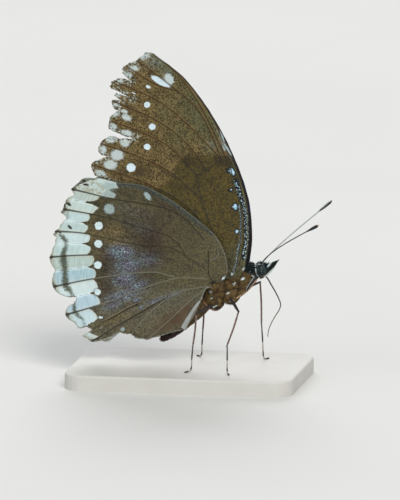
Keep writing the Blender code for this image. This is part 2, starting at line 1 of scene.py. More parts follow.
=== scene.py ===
# %% [markdown]
# # A great eggfly at rest, life size
# This lesson dresses a small butterfly model for a museum case. The animal is a worn female
# with her wings closed over her back. The solids already give every part its place, so the
# lesson makes what the eye looks for: wing membranes with veins and torn edges, scales that
# draw the markings, fur, jointed legs and eyes. All sizes are in millimetres, and a factor
# turns them into metres at the very end of each piece.

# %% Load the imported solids
import json
import math

import bmesh
import bpy
import numpy as np
from mathutils import Matrix, Vector
from mathutils.geometry import delaunay_2d_cdt

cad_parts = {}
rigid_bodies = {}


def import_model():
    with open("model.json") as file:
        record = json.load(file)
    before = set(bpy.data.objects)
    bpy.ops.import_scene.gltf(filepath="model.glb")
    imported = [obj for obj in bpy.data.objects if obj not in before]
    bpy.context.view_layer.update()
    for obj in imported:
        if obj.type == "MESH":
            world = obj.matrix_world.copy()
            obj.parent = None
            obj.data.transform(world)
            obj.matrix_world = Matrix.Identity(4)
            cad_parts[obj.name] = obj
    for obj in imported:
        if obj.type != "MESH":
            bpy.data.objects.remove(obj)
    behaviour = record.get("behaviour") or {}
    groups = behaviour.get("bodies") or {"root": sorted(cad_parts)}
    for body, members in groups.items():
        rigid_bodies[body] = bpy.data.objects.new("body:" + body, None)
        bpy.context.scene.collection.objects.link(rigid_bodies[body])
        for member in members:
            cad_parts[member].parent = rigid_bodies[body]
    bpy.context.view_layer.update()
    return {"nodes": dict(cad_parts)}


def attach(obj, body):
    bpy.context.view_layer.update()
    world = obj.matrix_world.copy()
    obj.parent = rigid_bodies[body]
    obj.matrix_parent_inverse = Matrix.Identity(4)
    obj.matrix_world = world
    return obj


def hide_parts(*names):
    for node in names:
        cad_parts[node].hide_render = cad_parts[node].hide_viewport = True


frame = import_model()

MM = 0.001
SIDES = {"right": -1, "left": 1}
scene = bpy.context.scene

# %% [markdown]
# ## Camera, light and floor
# The picture is a close-up from the animal's right, a little from its front and a little
# from above. A long lens far away keeps the wings flat, as a telephoto shot does. The light
# is one broad soft lamp above, a second one low on the other side and a pale sky.

# %% Camera
VIEW_TURN = math.radians(10.5)
VIEW_RISE = math.radians(10.5)
VIEW_DISTANCE = 3000.0
VIEW_HEIGHT = 95.0
AIM = Vector((2.03, 0.0, 25.18))
toward_camera = Vector((math.sin(VIEW_TURN) * math.cos(VIEW_RISE),
                        -math.cos(VIEW_TURN) * math.cos(VIEW_RISE), math.sin(VIEW_RISE)))


def new_object(name, data):
    """An object of its own for this data, linked to the scene."""
    made = bpy.data.objects.new(name, data)
    scene.collection.objects.link(made)
    return made


def look_at(item, place, target):
    """Puts a lamp or a camera at a place in millimetres and turns it to a target."""
    item.location = place * MM
    item.rotation_euler = (target - place).to_track_quat("-Z", "Y").to_euler()


lens = bpy.data.cameras.new("camera")
lens.sensor_width = 36.0
lens.lens = lens.sensor_width * VIEW_DISTANCE / VIEW_HEIGHT
lens.clip_start, lens.clip_end = 0.01, 20.0
camera = new_object("camera", lens)
look_at(camera, AIM + toward_camera * VIEW_DISTANCE, AIM)
scene.camera = camera
scene.view_settings.view_transform = "Standard"
print("lens in mm:", round(lens.lens, 1))

# %% Lamps and sky
# Direction towards each lamp, strength, apparent size in degrees and colour.
LAMPS = {
    "key": ((0.42, -0.78, 0.72), 2.1, 28.0, (1, 0.98, 0.94)),
    "fill": ((-0.8, -0.75, 0.3), 0.55, 50.0, (0.92, 0.96, 1)),
    "rim": ((-0.25, 0.85, 0.6), 1.5, 40.0, (0.97, 0.98, 1)),
}
LAMP_DISTANCE = 600.0
SKY_COLOUR, SKY_STRENGTH = (0.95, 0.975, 1.0, 1.0), 0.5
for name, (heading, power, spread, colour) in LAMPS.items():
    lamp = bpy.data.lights.new(name, "SUN")
    lamp.energy, lamp.angle, lamp.color = power, math.radians(spread), colour
    place = AIM + Vector(heading).normalized() * LAMP_DISTANCE
    look_at(new_object(name, lamp), place, AIM)
scene.world = bpy.data.worlds.new("sky")
scene.world.use_nodes = True
background = scene.world.node_tree.nodes["Background"].inputs
background["Color"].default_value = SKY_COLOUR
background["Strength"].default_value = SKY_STRENGTH
print("lamps:", ", ".join(LAMPS))

# %% [markdown]
# ## A short way to write nodes
# Every finish here is a node tree. A value below is a node's output that can stand in a sum,
# so a mask reads like a formula. The other class adds nodes to one tree and lays one paint
# over another. A mask of 1 covers what is there, and a mask of 0 leaves it.

# %% The paint box


class Value:
    """A node's output that can be added, subtracted and multiplied."""

    def __init__(self, nodes, socket):
        self.nodes, self.socket = nodes, socket

    def __add__(self, other):
        return self.nodes.math("ADD", self, other)

    def __sub__(self, other):
        return self.nodes.math("SUBTRACT", self, other)

    def __mul__(self, other):
        return self.nodes.math("MULTIPLY", self, other)

    def __abs__(self):
        return self.nodes.math("ABSOLUTE", self)

    def also(self, output):
        """Another output of the same node."""
        return Value(self.nodes, self.socket.node.outputs[output])


class Nodes:
    """Adds nodes to one tree. An input may be a number, a colour or a value."""

    def __init__(self, tree):
        self.tree, self.colour = tree, None

    def add(self, kind, inputs, output=0, **settings):
        made = self.tree.nodes.new(kind)
        for name, value in settings.items():
            setattr(made, name, value)
        for socket, value in inputs.items():
            if isinstance(value, Value):
                self.tree.links.new(value.socket, made.inputs[socket])
            else:
                made.inputs[socket].default_value = value
        return Value(self, made.outputs[output])

    def math(self, operation, first, second=0.0):
        return self.add("ShaderNodeMath", {0: first, 1: second}, operation=operation)

    def step(self, value, low, high):
        """0 below low, 1 above high and smooth between them. Low may be the higher one."""
        flip = low > high
        return self.add("ShaderNodeMapRange", {0: value, 1: min(low, high), 2: max(low, high),
                                               3: float(flip), 4: float(not flip)},
                        interpolation_type="SMOOTHSTEP")

    def near(self, value, middle, wide, crisp):
        """1 within the crisp distance of a middle value, 0 beyond the wide one."""
        return self.step(abs(value - middle), wide, crisp)

    def mix(self, factor, below, above, blend="MIX"):
        return self.add("ShaderNodeMix", {0: factor, 6: rgba(below), 7: rgba(above)}, output=2,
                        data_type="RGBA", blend_type=blend)

    def lay(self, mask, paint):
        """Lays a paint over the colour so far."""
        self.colour = self.mix(mask, self.colour, paint)

    def tools(self):
        """What a finish uses most, to be given short names."""
        return self.attribute, self.step, self.near, self.mix, self.lay

    def part(self, vector, axis):
        return self.add("ShaderNodeSeparateXYZ", {0: vector}, output=axis)

    def vectors(self, first, second, operation="ADD"):
        return self.add("ShaderNodeVectorMath", {0: first, 1: second}, operation=operation)

    def scaled(self, vector, scale):
        return self.add("ShaderNodeVectorMath", {0: vector, "Scale": scale}, operation="SCALE")

    def attribute(self, name, output=2):
        return self.add("ShaderNodeAttribute", {}, output=output, attribute_name=name)

    def noise(self, scale, vector, detail=2.0):
        return self.add("ShaderNodeTexNoise", {"Vector": vector, "Scale": scale, "Detail": detail})

    def patches(self, scale, detail, low, high):
        """Patches of noise on the plan of a wing."""
        return self.step(self.noise(scale, self.plan, detail), low, high)

    def cells(self, scale, vector, output="Distance", flat=False):
        return self.add("ShaderNodeTexVoronoi", {"Vector": vector, "Scale": scale}, output=output,
                        voronoi_dimensions="2D" if flat else "3D")

    def object_mm(self):
        return self.scaled(self.add("ShaderNodeTexCoord", {}, output="Object"), 1.0 / MM)

    def group(self, tree, inputs, output=0):
        return self.add("ShaderNodeGroup", inputs, output, node_tree=tree)

    def give(self, name, value):
        """Hands a value to a named output of this group."""
        self.tree.links.new(value.socket, self.result[name])


print("paint box ready")

# %% Groups and finishes


def rgba(colour):
    return (*colour, 1.0) if isinstance(colour, tuple) else colour


def new_group(name, kind, inputs, outputs):
    """An empty node group. Each named socket has a kind and maybe a start value."""
    tree = bpy.data.node_groups.new(name, kind)
    for way, sockets in (("INPUT", inputs), ("OUTPUT", outputs)):
        for socket, (form, *start) in sockets.items():
            made = tree.interface.new_socket(socket, in_out=way, socket_type="NodeSocket" + form)
            if start:
                made.default_value = start[0]
    nodes = Nodes(tree)
    given = tree.nodes.new("NodeGroupInput").outputs
    nodes.given = {socket: Value(nodes, given[socket]) for socket in inputs}
    nodes.result = tree.nodes.new("NodeGroupOutput").inputs
    return nodes


def new_finish(name, roughness, specular=0.2, sheen=0.0, coat=0.0):
    """The nodes of a new material, with its Principled shader set."""
    material = bpy.data.materials.new(name)
    material.use_nodes = True
    nodes = Nodes(material.node_tree)
    nodes.material = material
    nodes.shader = material.node_tree.nodes["Principled BSDF"].inputs
    for socket, value in (("Roughness", roughness), ("Specular IOR Level", specular),
                          ("Sheen Weight", sheen), ("Sheen Roughness", 0.4),
                          ("Coat Weight", coat), ("Coat Roughness", 0.15)):
        nodes.shader[socket].default_value = value
    return nodes


def closed(nodes, height=None, depth=0.05):
    """Joins the colour, and a bump of some depth in millimetres, to the shader."""
    nodes.tree.links.new(nodes.colour.socket, nodes.shader["Base Color"])
    if height is not None:
        bump = nodes.add("ShaderNodeBump", {"Height": height, "Distance": depth * MM,
                                            "Strength": 1.0})
        nodes.tree.links.new(bump.socket, nodes.shader["Normal"])
    return nodes.material


print("group and finish helpers ready")

# %% [markdown]
# Butterfly wings are shingled with scales, each one a single colour. What looks like brown
# from a step away is a mix of ochre, olive and black specks. Two effects are shared by all
# wing finishes: the random tone of each scale, and the raised rows that the scales lie in.
# Both are one node group with named inputs, so that each wing sets its own scale size.

# %% Scale group
ROW_WANDER, ROW_HEIGHT = 3.0, 0.35


def build_scale_group():
    nodes = new_group("wing_scales", "ShaderNodeTree",
                      {"Place": ("Vector",), "Size": ("Float", 0.17), "Row": ("Float", 0.03)},
                      {"Speck": ("Float",), "Height": ("Float",)})
    place, size, row = nodes.given.values()
    cell = nodes.cells(nodes.math("DIVIDE", 1.0, size), place, "Color", flat=True)
    speck = nodes.add("ShaderNodeSeparateColor", {0: cell})
    nodes.give("Speck", speck)
    along = nodes.part(place, "Y") + nodes.noise(0.5, place, 1.0) * ROW_WANDER
    rows = nodes.math("SINE", nodes.math("DIVIDE", along, row))
    nodes.give("Height", rows * ROW_HEIGHT + speck)
    return nodes.tree


WING_SCALES = build_scale_group()
print("group:", WING_SCALES.name)

# %% [markdown]
# ## Wings
# Each wing is one membrane on branching veins. It could be bent from a subdivided plane, but
# then veins and tears would not follow edges of the mesh. Here the plan is drawn flat first,
# in millimetres forward of and above the hinge, and cut into triangles along veins and tears.
# A lean function then gives every point its distance from the body's plane of symmetry.

# %% Curves and distances
VEIN_STEP = 0.5


def smooth_path(knots, step):
    """Points about one step apart on a Catmull-Rom curve through the knots."""
    knots = np.array(knots, float)
    knots = np.vstack((2 * knots[0] - knots[1], knots, 2 * knots[-1] - knots[-2]))
    path = []
    for before, start, end, after in zip(knots, knots[1:], knots[2:], knots[3:]):
        count = max(1, round(np.linalg.norm(end - start) / step))
        for t in np.arange(count) / count:
            path.append(0.5 * (2 * start + (end - before) * t
                               + (2 * before - 5 * start + 4 * end - after) * t ** 2
                               + (3 * start - before - 3 * end + after) * t ** 3))
    path.append(knots[-2])
    return np.array(path)


def measure(points, path):
    """Each point's distance to a flat path, its place along it and its signed distance."""
    best = np.full(len(points), np.inf)
    along, signed, run = np.zeros(len(points)), np.zeros(len(points)), 0.0
    for start, end in zip(path, path[1:]):
        span = end - start
        length = np.hypot(*span)
        t = np.clip((points - start) @ span / length ** 2, 0, 1)
        off = points - start - t[:, None] * span
        gap = np.hypot(off[:, 0], off[:, 1])
        nearer = gap < best
        best[nearer] = gap[nearer]
        along[nearer] = run + t[nearer] * length
        left = span[0] * off[:, 1] - span[1] * off[:, 0]
        signed[nearer] = np.where(left < 0, -gap, gap)[nearer]
        run += length
    return best, along / run, signed


def beside(points, knots, step=VEIN_STEP):
    """The same measures, to a smooth path through the knots."""
    return measure(points, smooth_path(knots, step))


def unit(vectors):
    return vectors / np.linalg.norm(vectors, axis=-1, keepdims=True)


def headings(path):
    """The unit vector along a path, at each of its points."""
    return unit(np.gradient(path, axis=0))


def left_of(vectors):
    """Flat vectors after a quarter turn to the left."""
    return np.stack((-vectors[..., 1], vectors[..., 0]), axis=-1)


def round_angles(count):
    return np.arange(count) * math.tau / count


def turned(u, v, angle):
    """Flat distances along and across, after a turn by an angle in radians."""
    return u * math.cos(angle) - v * math.sin(angle), u * math.sin(angle) + v * math.cos(angle)


def inside(points, outline):
    """Which of the points lie inside a closed outline."""
    within = np.zeros(len(points), bool)
    for start, end in zip(outline, np.roll(outline, -1, axis=0)):
        spans = (start[1] > points[:, 1]) != (end[1] > points[:, 1])
        rise = end[1] - start[1]
        if rise:
            reach = start[0] + (points[:, 1] - start[1]) * (end[0] - start[0]) / rise
            within ^= spans & (points[:, 0] < reach)
    return within


def evenly(values, count):
    """Values spread evenly over a path and read at each of its points."""
    return np.interp(np.linspace(0, 1, count), np.linspace(0, 1, len(values)), values)


def run_along(path):
    """How far each point of a path lies along it."""
    return np.append(0.0, np.cumsum(np.linalg.norm(np.diff(path, axis=0), axis=1)))


def fade(low, high, value):
    """0 at low, 1 at high and smooth between them."""
    t = np.clip((value - low) / (high - low), 0, 1)
    return t * t * (3 - 2 * t)


print("curve helpers ready")

# %% [markdown]
# The plans below repeat the sizes of the solids, with the wear drawn finer. Wear is given for
# each cell behind a vein that ends at the margin, as places along the cell's edge, from that
# vein's end to the next one's, and depths into it.

# %% Forewing plan
FORE_VEINS = {
    "subcosta": ((0.1, 2.1), (1.2, 9), (-0.4, 19.1), (-3.7, 26.7)),
    "radius_1": ((-1.5, 19), (-2.3, 23.1), (-5.2, 29.8), (-9.3, 35.8), (-12.6, 39.4)),
    "radius_4": ((-0.6, 1), (0.3, 8.5), (-0.6, 17), (-6.2, 29.5), (-11.4, 37.5), (-16.9, 42.1)),
    "radius_5": ((-3.5, 22.1), (-7.8, 31), (-13.9, 36.4), (-20, 40.6)),
    "media_1": ((-12.4, 35.1), (-16.6, 36.3), (-22.1, 39.6)),
    "media_2": ((-3.5, 22.1), (-9.7, 28.2), (-15.5, 32.8), (-24.2, 36.6)),
    "media_3": ((-6.6, 20), (-9.7, 24.4), (-15.5, 28.9), (-24.8, 32.8)),
    "cubitus_1": ((-8.3, 19), (-13.6, 24.2), (-19.4, 27), (-25.3, 28.9)),
    "cubitus_2": ((-7.4, 14.4), (-13.2, 19.2), (-19.4, 22.1), (-27, 24.5)),
    "cubitus": ((-1, 0.5), (-4.7, 7.3), (-7.4, 14.4), (-8.3, 19)),
    "cross_vein": ((-8.3, 19), (-6.6, 20), (-3.5, 22.1)),
    "anal_2": ((-1.4, -0.3), (-8.7, 11.6), (-17.4, 16.8), (-28.8, 20.4)),
}
FORE_WEAR = {
    "radius_4": ((0.36, -0.7), (0.49, -0.4), (0.77, -0.3)),
    "radius_5": ((0.35, 0), (0.7, -0.2)),
    "media_1": ((0.15, -0.3), (0.3, -0.2), (0.32, 0.4), (0.45, 0.2), (0.48, 1.4), (0.54, 2.7),
        (0.62, 1.3), (0.8, 0.2)),
    "media_2": ((0.07, -0.7), (0.19, -0.6), (0.34, -0.8), (0.42, -0.3), (0.47, 0.7), (0.59, 2),
        (0.72, 3.9), (0.66, 1.9), (0.6, 0.5), (0.74, 0.3), (0.82, 1), (0.9, 1.7)),
    "media_3": ((0.2, 0.1), (0.41, 0.8), (0.45, 1.6), (0.53, 1), (0.68, 0.5), (0.85, 0)),
    "cubitus_1": ((0.22, 0.2), (0.33, 0.5), (0.34, 2.4), (0.34, 4.2), (0.27, 5.4), (0.17, 5.9),
        (0.38, 5.1), (0.42, 4.3), (0.54, 3.1), (0.54, 2.2), (0.6, 1.1), (0.8, 0.3)),
    "cubitus_2": ((0.21, -0.1), (0.37, 0.3), (0.45, 1.2), (0.4, 2.1), (0.52, 1.7), (0.65, 1.2),
        (0.85, 0.3)),
    "anal_2": ((0.27, -0.2), (0.57, -0.15), (0.85, -0.05)),
}
FORE = {
    "hinge": (9.95, 20.8),
    "costa": ((1.2, 1.4), (1.9, 7.5), (1, 15.7), (-3.3, 26.5), (-10.1, 36.6), (-16.9, 42.1)),
    "inner": ((-28.1, 18.2), (-23, 16.3), (-17, 12.6), (-9, 6.2), (-2.3, -0.7)),
    "base": ((-1, -0.6), (0.4, 0.1)),
    "veins": FORE_VEINS,
    "wear": FORE_WEAR,
    "apex": (-14.9, 42.3),
    "holes": ((-20.6, 34.3, 0.45, 0.16, -25), (-23.2, 31.6, 0.3, 0.14, 10)),
}
print("forewing veins:", len(FORE["veins"]))

# %% Hindwing plan
HIND_VEINS = {
    "humeral": ((-0.2, 0.1), (-0.65, 0.8), (-0.95, 1.9), (-0.9, 3.9), (-0.95, 5.9)),
    "humeral_spur": ((-0.7, 4.1), (0.3, 4.5), (0.9, 5), (1, 5.5)),
    "radius": ((-2, 8.1), (-3.5, 9.8), (-5.3, 11.6), (-8, 13.2), (-12.1, 14.3), (-19.4, 15.1),
        (-27.8, 16.7)),
    "media_1": ((-5.3, 4.6), (-5.8, 5.3), (-6.5, 6.5), (-7.3, 7.4), (-9.4, 8.6), (-12.5, 9.4),
        (-21.3, 11.5), (-29.4, 12.7)),
    "media_2": ((-1.6, 2.5), (-3.3, 3.5), (-5.3, 4.6), (-8.7, 6.2), (-15.4, 6.4), (-24.9, 8.1),
        (-31, 8.4)),
    "media_3": ((-1.9, 1.8), (-8.7, 4), (-16.4, 4.3), (-26.2, 3.9), (-32.1, 3.3)),
    "cubitus_1": ((-7.7, 0.35), (-9.2, 0.6), (-11.6, 1.1), (-17.1, 0.6), (-24.2, -0.7), (-31.4, -2.4)),
    "cubitus_2": ((-1.2, 0.5), (-4.2, 0.5), (-6.8, 0.3), (-9.6, -0.5), (-12.4, -1.5), (-16.6, -3.1),
        (-20.2, -4.8), (-29, -7.8)),
    "postcubitus": ((-8.6, -3.4), (-9.5, -3.8), (-11.5, -4.9), (-15.7, -7.5), (-18.4, -9.2),
        (-21.5, -11.2), (-23.9, -12.8)),
    "anal_2": ((-1.2, -0.9), (-5.9, -2), (-9.4, -3.9), (-13.4, -7.6), (-16, -10.8)),
    "anal_3": ((-1.3, -1.3), (-4.4, -3.8), (-9, -8.2), (-12.9, -11.7)),
}
HIND_WEAR = {
    "radius": ((0.08, 0.45), (0.22, 0.95), (0.34, 0.55), (0.42, 0.05), (0.64, -0.15), (0.84, -0.1)),
    "media_1": ((0.18, -0.25), (0.22, 0.6), (0.32, 1.35), (0.42, 0.95), (0.53, 0.85), (0.67, 0.55),
        (0.82, 0.65)),
    "media_2": ((0.16, -0.1), (0.22, 0.6), (0.36, 0.4), (0.47, 0.6), (0.64, 0.3), (0.88, 0.15)),
    "media_3": ((0.2, 0.15), (0.36, 0.55), (0.44, 0.85), (0.67, 0.2), (0.88, -0.1)),
    "cubitus_1": ((0.21, 0.2), (0.42, 1.3), (0.48, 1.8), (0.52, 2.6), (0.6, 3.4), (0.68, 3.05),
        (0.76, 2.3), (0.76, 1.7), (0.79, 1), (0.88, 0.3)),
    "cubitus_2": ((0.13, -0.15), (0.25, 0.1), (0.38, 0.2), (0.49, -0.05), (0.57, 1), (0.65, 1.5),
        (0.77, 1.7), (0.75, 0.6), (0.71, -0.45), (0.84, -0.2)),
    "postcubitus": ((0.15, -0.1), (0.25, -0.1), (0.33, -0.6), (0.42, -0.3), (0.53, 0.15),
        (0.63, 0.55), (0.72, 0.65), (0.83, 0.2)),
    "anal_2": ((0.35, -0.4), (0.65, -0.2)),
    "anal_3": ((0.34, 0), (0.63, 0.05)),
}
HIND = {
    "hinge": (5.11, 19.66),
    "costa": ((1.1, -0.3), (1.8, 0.05), (2.7, 1.2), (2.9, 2.6), (2.7, 4.1), (1.9, 6.4), (0.3, 8.9),
        (-2, 10.9), (-4.5, 12.8), (-8, 15.2), (-11.4, 17), (-13.6, 17.9), (-15.8, 18.25), (-18.5, 18.4),
        (-20.1, 18.7), (-22.6, 19.2), (-23.3, 18.75), (-24.4, 18.85), (-25.5, 18.8), (-26.1, 18.2),
        (-27, 17.4), (-27.8, 16.7)),
    "inner": ((-5.6, -9.4), (-4, -7.2), (-2.6, -4.3), (-1.3, -1.4), (0.2, -1.4)),
    "base": (),
    "veins": HIND_VEINS,
    "wear": HIND_WEAR,
    "apex": (-24, 19),
    "holes": ((-25.9, 17.6, 0.4, 0.12, 5),),  # forward, up, half length, half width and turn
}
print("hindwing veins:", len(HIND["veins"]))

# %% [markdown]
# The margin is frayed at a finer step than the tears. Holes are small torn ovals. The flat
# plan is then triangulated once, with every vein, its two flanks and the outline as edges.

# %% Outline, wear and triangles
FRAY_STEP, FRAY, HOLE_WOBBLE = 0.2, 0.045, 0.25
GRID_STEP, GRID_ROW, GRID_CLEARANCE, WELD = 0.34, 0.87, 0.55, 0.03
VEIN_FLANK = 0.15


def fray(knots, draw):
    """Straight runs between the knots, roughened by a small random step across."""
    frayed = []
    for start, end in zip(knots, knots[1:]):
        span = end - start
        length = np.hypot(*span)
        across = left_of(span) / max(length, 1e-6)
        count = max(1, round(length / FRAY_STEP))
        frayed.append(start)
        for index in range(1, count):
            frayed.append(start + span * index / count + across * draw.normal(0.0, FRAY))
    return frayed


def wing_outline(plan, draw):
    """The worn outline, and the margin that the wing had before it was worn."""
    ends = [np.array(plan["veins"][name][-1]) for name in plan["wear"]]
    ends.append(np.array(plan["inner"][0]))
    whole = smooth_path([plan["apex"]] + ends, VEIN_STEP)
    outline = list(smooth_path(plan["costa"], VEIN_STEP))[:-1]
    for wear, start, end in zip(plan["wear"].values(), ends, ends[1:]):
        chord = end - start
        inward = unit(left_of(chord))
        knots = [start + chord * place + inward * depth for place, depth in wear]
        outline += fray([start] + knots + [end], draw)
    outline += list(smooth_path(plan["inner"], VEIN_STEP))
    outline += [np.array(knot) for knot in plan["base"]]
    return np.array(outline), whole


print("outline helpers ready")

# %% Triangles of the wings


def oval(forward, up, length, width, turn, draw, count=12):
    """A small hole with an uneven rim."""
    angles = round_angles(count)
    reach = 1.0 + draw.uniform(-HOLE_WOBBLE, HOLE_WOBBLE, count)
    u, v = length * np.cos(angles) * reach, width * np.sin(angles) * reach
    return np.stack(turned(u, v, math.radians(turn)), axis=1) + (forward, up)


def plan_lines(plan, outline, holes):
    """The closed outline, the holes, and each vein between its two flanks."""
    lines = [np.vstack((ring, ring[:1])) for ring in [outline] + holes]
    for knots in plan["veins"].values():
        vein = smooth_path(knots, VEIN_STEP)
        side = left_of(headings(vein)) * VEIN_FLANK
        lines += [vein, (vein - side)[1:-1], (vein + side)[1:-1]]
    return lines


def plan_grid(outline, lines):
    """Staggered points inside the outline that keep clear of every line."""
    low, high = outline.min(0), outline.max(0)
    columns = np.arange(low[0], high[0], GRID_STEP)
    rows = np.arange(low[1], high[1], GRID_STEP * GRID_ROW)
    grid = np.array([(x + GRID_STEP / 2 * (row % 2), y) for row, y in enumerate(rows)
                     for x in columns])
    grid = grid[inside(grid, outline)]
    for line in lines:
        grid = grid[measure(grid, line)[0] > GRID_STEP * GRID_CLEARANCE]
    return grid


def cut_wing(plan, seed):
    """Triangulates the plan. Gives flat points, triangles, worn outline and whole margin."""
    draw = np.random.default_rng(seed)
    outline, whole = wing_outline(plan, draw)
    holes = [oval(*hole, draw) for hole in plan["holes"]]
    lines = plan_lines(plan, outline, holes)
    grid = plan_grid(outline, lines)
    points, edges = [], []
    for line in lines:
        if len(line) > 1:
            kept = line if line is lines[0] or len(line) < 3 else line[inside(line, outline)]
            edges += [(len(points) + i, len(points) + i + 1) for i in range(len(kept) - 1)]
            points += [Vector(point) for point in kept]
    points += [Vector(point) for point in grid]
    rim = list(range(len(outline)))
    flat, _, triangles, *_ = delaunay_2d_cdt(points, edges, [rim], 1, WELD)
    flat, triangles = np.array(flat), np.array([list(corners)[:3] for corners in triangles])
    for hole in holes:
        triangles = triangles[~inside(flat[triangles].mean(axis=1), hole)]
    used, triangles = np.unique(triangles, return_inverse=True)
    return flat[used], triangles.reshape(-1, 3), outline, whole


FORE_CUT = cut_wing(FORE, seed=3)
HIND_CUT = cut_wing(HIND, seed=5)
print("triangles a face: forewing", len(FORE_CUT[1]), "hindwing", len(HIND_CUT[1]))

# %% [markdown]
# How far each wing stands from the plane of symmetry repeats the solids: the forewings close
# above the body, and the hindwings lie over them and bulge round the abdomen. Small waves and
# a curled edge are added, because a membrane is never quite flat between its veins.

# %% Lean of the wings
FORE_ROOT_Y, FORE_TIP_Y, FORE_CLOSING = 2.7, 0.58, 11.0
HIND_OVER_FORE, HIND_FREE_Y, HIND_BLEND = 0.78, 0.8, 7.0
ABDOMEN_AXIS = np.array(((4.2, 15.9), (2.9, 14.9), (1.2, 13.5), (-1, 11.6), (-3, 9.65),
                         (-4.7, 8.15), (-5.6, 7.45)))
ABDOMEN_CLEARANCE, ABDOMEN_COVER = 2.75, (2.8, 9.5)
WAVE_STRETCH = (0.7, 1.5)


def fore_lean(place):
    from_hinge = np.hypot(*(place - FORE["hinge"]).T)
    return FORE_TIP_Y + (FORE_ROOT_Y - FORE_TIP_Y) * np.exp(-from_hinge / FORE_CLOSING)


def hind_lean(place):
    """Over the forewing where that is under it, free below it, and round the abdomen."""
    start, end = (np.array(FORE["hinge"]) + np.array(FORE["inner"][i]) for i in (0, -1))
    under_edge = (place - start) @ -unit(left_of(end - start))
    cover = 1 - fade(0, HIND_BLEND, under_edge)
    lean = HIND_FREE_Y + (fore_lean(place) + HIND_OVER_FORE - HIND_FREE_Y) * cover
    bulge = 1 - fade(*ABDOMEN_COVER, measure(place, ABDOMEN_AXIS)[0])
    return lean + np.maximum(0.0, ABDOMEN_CLEARANCE - lean) * bulge


def waves(flat, seed, length, count=7):
    """A sum of plane waves between -1 and 1, the same on every run."""
    draw = np.random.default_rng(seed)
    total = np.zeros(len(flat))
    for _ in range(count):
        heading = draw.uniform(0.0, math.tau)
        scale = math.tau / (length * draw.uniform(*WAVE_STRETCH))
        across = flat @ np.array((math.cos(heading), math.sin(heading)))
        total += np.sin(across * scale + draw.uniform(0.0, math.tau))
    return total / count


print("forewing lean at the hinge in mm:", fore_lean(np.array(FORE["hinge"])))

# %% [markdown]
# ### Fields that draw the markings
# A marking is stored as a field: a number at each point that says how far inside the marking
# the point lies. The finish then draws a crisp or a scaly edge where the field crosses zero.
# That keeps edges sharp between points, needs no image, and the two wings of a pair share it.

# %% Field helpers
FAR, STREAK, FAN_REACH = 9.0, 2.4, 18.0


def in_mark(flat, mark):
    """Places in an oval mark's own frame, where its edge lies at a distance of 1."""
    forward, up, length, width, turn = mark[:5]
    along, across = turned(flat[:, 0] - forward, flat[:, 1] - up, -math.radians(turn))
    return along / length, across / width


def spot_field(flat, marks):
    """Distance inside the nearest oval mark, in millimetres. Outside it is negative."""
    field = np.full(len(flat), -FAR)
    for mark in marks:
        field = np.maximum(field, (1 - np.hypot(*in_mark(flat, mark))) * min(mark[2:4]))
    return field


def glow_field(flat, marks):
    """Soft patches: each is a bell of its own strength, its last number. The strongest shows."""
    field = np.zeros(len(flat))
    for mark in marks:
        u, v = in_mark(flat, mark)
        field = np.maximum(field, mark[5] * np.exp(-u * u - v * v))
    return field


def store(mesh, field, values):
    kind, key = ("FLOAT", "value") if values.ndim == 1 else ("FLOAT_VECTOR", "vector")
    mesh.attributes.new(field, kind, "POINT").data.foreach_set(key, values.ravel())


def vein_fields(flat, plan, tones):
    """The plan, the streaks that fan out, and the nearest vein with its tone.

    The span runs from 0 on a vein to 1 on the fold in the middle of the cell.
    """
    measures = {name: beside(flat, knots) for name, knots in plan["veins"].items()}
    gaps, alongs, _ = (np.array(column) for column in zip(*measures.values()))
    nearest, pick = np.argmin(gaps, axis=0), np.arange(len(flat))
    tone = np.array([tones.get(name, 0.0) for name in plan["veins"]])[nearest]
    signed = np.array([measures[name][2] for name in plan["wear"]])
    order = np.argmin(np.abs(signed), axis=0)
    own = signed[order, pick]
    other = np.clip(order + np.where(own > 0, 1, -1), 0, len(signed) - 1)
    beyond = np.abs(signed[other, pick])
    span = 2.0 * np.abs(own) / np.maximum(np.abs(own) + beyond, 1e-6)
    fold = np.where(other == order, FAR, np.maximum(beyond - np.abs(own), 0.0) / 2)
    root, turn = np.hypot(*flat.T), np.arctan2(flat[:, 1], -flat[:, 0])
    return {"plan": np.column_stack((flat, 0.0 * root)),
            "fan": np.column_stack((root / STREAK, turn * FAN_REACH, 0.0 * root)),
            "vein": gaps[nearest, pick], "along": alongs[nearest, pick], "tone": tone,
            "span": np.clip(span, 0, 1), "fold": fold, "half_cell": order * 2 + (own > 0),
            "root": root}


def shared_fields(plan, cut, tones, spots, patches):
    """What both kinds of wing have: veins, edges, dots and soft patches."""
    flat, _, outline, whole = cut
    fields = vein_fields(flat, plan, tones)
    fields["edge"] = measure(flat, whole)[2]
    fields["torn"] = measure(flat, np.vstack((outline, outline[:1])))[0]
    fields["costal"] = beside(flat, plan["costa"])[0]
    fields["spot"] = spot_field(flat, spots)
    for name, marks in patches.items():
        fields[name] = glow_field(flat, marks)
    return flat, fields, fields.pop("half_cell")


print("field helpers ready")

# %% White band of the hindwing
# How far it reaches in from the margin, on the front and the inner side of each vein.
BAND_REACH = ((6.7, 4.3), (6, 5.4), (5.8, 6.9), (7.6, 8.7), (8.8, 8.4), (7.3, 5), (1.5, 0.5), (-2, -2),
    (-2, -2))
LOBE_ROUNDING, NOTCH_DEPTH, NOTCH_WIDTH, BITE_DEPTH = 0.8, 0.9, 0.28, 3.0
# Shade of the band in each half cell, from the front of the first vein inwards.
BAND_SHADES = ((0.46, 0.56, 0.53), (0.4, 0.48, 0.43), (0.44, 0.53, 0.49), (0.45, 0.58, 0.58),
    (0.4, 0.51, 0.49), (0.5, 0.62, 0.62), (0.42, 0.55, 0.54), (0.37, 0.46, 0.42), (0.3, 0.45, 0.5),
    (0.54, 0.65, 0.65), (0.36, 0.5, 0.58), (0.47, 0.6, 0.63), (0.44, 0.57, 0.6))
